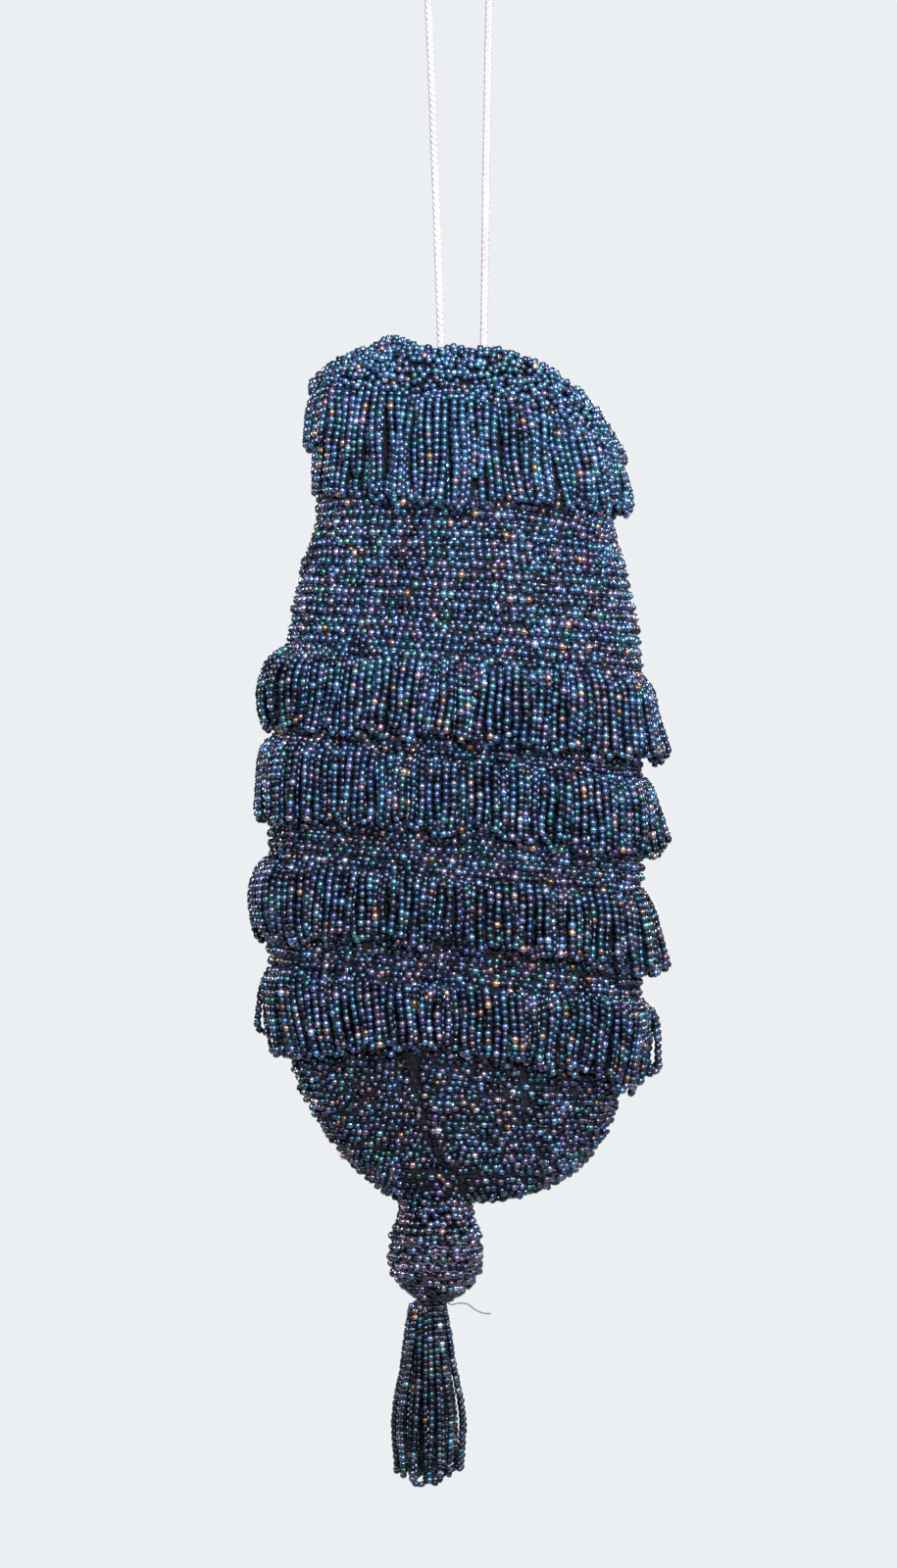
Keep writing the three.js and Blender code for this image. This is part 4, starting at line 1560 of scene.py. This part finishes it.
stringRun = {
    "belowRim": 12,
    "inset": 4.1,
    "firstTurn": 0.315,
    "lastTurn": 1.2,
    "stops": 26,
    "endGap": 0.4,
    # From a strand's end down into the run, for a run that goes off to the right
    "turnedUp": [(0, 0, 0), (0, -0.15, -1.5), (1.1, -0.2, -3.6), (3.4, -0.15, -5.2)],
}


def makeStringRun():
    turns = np.linspace(stringRun["firstTurn"], stringRun["lastTurn"], stringRun["stops"] + 1)
    held = besidePouch(rimHeightAt(turns) - stringRun["belowRim"], turns, -stringRun["inset"])

    def turnedUp(end, side):
        offsets = np.array(stringRun["turnedUp"]) * (side, 1, 1)
        return np.array(end) + offsets - (0, 0, stringRun["endGap"])

    left = turnedUp(drawstring["route"][0], -1)
    right = turnedUp(drawstring["route"][-1], 1)
    line = smoothRoute([*left, *held, *right[::-1]], drawstring["step"])
    piece = makeMesh("drawstring_run_plait", *plaitedYarns(line, drawstring), cordYarn)
    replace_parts(piece, "drawstring_run")
    print("drawstring run")


makeStringRun()


# Studio: a pale floor well below the tassel, a pale surround, a lamp by the camera for the
# sparkle of the glass, and soft lamps round it

studio = {
    "floor": -800,
    "floorSize": 8000,
    "white": (0.84, 0.86, 0.88, 1),
    "surround": (0.8, 0.88, 1, 1),
    "surroundLight": 0.09,
    "lampAim": (0, 0, -240),
    "flash": {"place": (110, -1300, 20), "aim": (0, 0, -200), "size": 40, "power": 104, "cone": 42},
    "paper": (0.5, 0.51, 0.52, 1),
    "paperRoughness": 0.9,
    "fadeFrom": 150,  # the floor goes over into the white surround between these distances
    "fadeTo": 750,
    "lamps": [
        {"name": "softLeft", "place": (-900, -900, 500), "size": 700, "power": 8, "colour": (0.9, 0.95, 1)},
        {"name": "softTop", "place": (100, -200, 1100), "size": 900, "power": 8, "colour": (0.85, 0.93, 1)},
        {"name": "backRight", "place": (900, 1000, 300), "size": 450, "power": 9, "colour": (1, 1, 1)},
        {"name": "backLeft", "place": (-1000, 900, -50), "size": 450, "power": 9, "colour": (1, 1, 1)},
        {"name": "glow", "place": (200, -460, 70), "size": 340, "power": 7.6, "colour": (0.6, 0.82, 1)},
        {"name": "sideRight", "place": (1300, -150, -100), "size": 200, "power": 5, "colour": (1, 1, 1)},
    ],
}


def addLamp(name, kind, place, aim, power):
    bpy.ops.object.light_add(type=kind, location=np.array(place) * mm)
    lamp = bpy.context.object
    lamp.name = name
    lamp.data.energy = power
    lamp.rotation_euler = Vector(np.subtract(aim, place)).to_track_quat("-Z", "Y").to_euler()
    return lamp.data


def makeSurround():
    world = bpy.data.worlds.new("surround")
    bpy.context.scene.world = world
    world.use_nodes = True
    tree = world.node_tree
    tree.nodes.clear()
    seen = addNode(tree, "ShaderNodeBackground", {"Color": studio["white"], "Strength": 1})
    light = addNode(tree, "ShaderNodeBackground", {
        "Color": studio["surround"],
        "Strength": studio["surroundLight"],
    })
    byCamera = addNode(tree, "ShaderNodeLightPath").outputs["Is Camera Ray"]
    mixed = addNode(tree, "ShaderNodeMixShader", {0: byCamera, 1: light.outputs[0], 2: seen.outputs[0]})
    output = addNode(tree, "ShaderNodeOutputWorld", {"Surface": mixed.outputs[0]})
    output.is_active_output = True


def makeFloor():
    bpy.ops.object.select_all(action="DESELECT")
    size, height = studio["floorSize"] * mm, studio["floor"] * mm
    bpy.ops.mesh.primitive_plane_add(size=size, location=(0, 0, height))
    floor = bpy.context.object
    floor.name = "studio_floor"
    material, tree, shader = newMaterial("palePaper", {
        "Base Color": studio["paper"],
        "Roughness": studio["paperRoughness"],
    })
    place = addNode(tree, "ShaderNodeTexCoord").outputs["Object"]
    away = addNode(tree, "ShaderNodeVectorMath", {0: place}, operation="LENGTH")
    fade = addNode(tree, "ShaderNodeMapRange", {
        "Value": away.outputs["Value"],
        "From Min": studio["fadeFrom"] * mm,
        "From Max": studio["fadeTo"] * mm,
    })
    shine = addNode(tree, "ShaderNodeEmission", {"Color": studio["white"], "Strength": 1})
    byCamera = addNode(tree, "ShaderNodeLightPath").outputs["Is Camera Ray"]
    far = addNode(tree, "ShaderNodeMath", {0: fade.outputs[0], 1: byCamera}, operation="MULTIPLY")
    paper, surround = shader.outputs[0], shine.outputs[0]
    mixed = addNode(tree, "ShaderNodeMixShader", {0: far.outputs[0], 1: paper, 2: surround})
    tree.links.new(mixed.outputs[0], tree.nodes["Material Output"].inputs["Surface"])
    floor.data.materials.append(material)


def makeLamps():
    for lamp in studio["lamps"]:
        made = addLamp(lamp["name"], "AREA", lamp["place"], studio["lampAim"], lamp["power"])
        made.shape = "DISK"
        made.size = lamp["size"] * mm
        made.color = lamp["colour"]
    flash = studio["flash"]
    made = addLamp("flash", "SPOT", flash["place"], flash["aim"], flash["power"])
    made.shadow_soft_size = flash["size"] / 2 * mm
    made.spot_size = math.radians(flash["cone"])
    made.spot_blend = 1


makeSurround()
makeFloor()
makeLamps()
bpy.context.scene.view_settings.view_transform = "Standard"
print("studio")
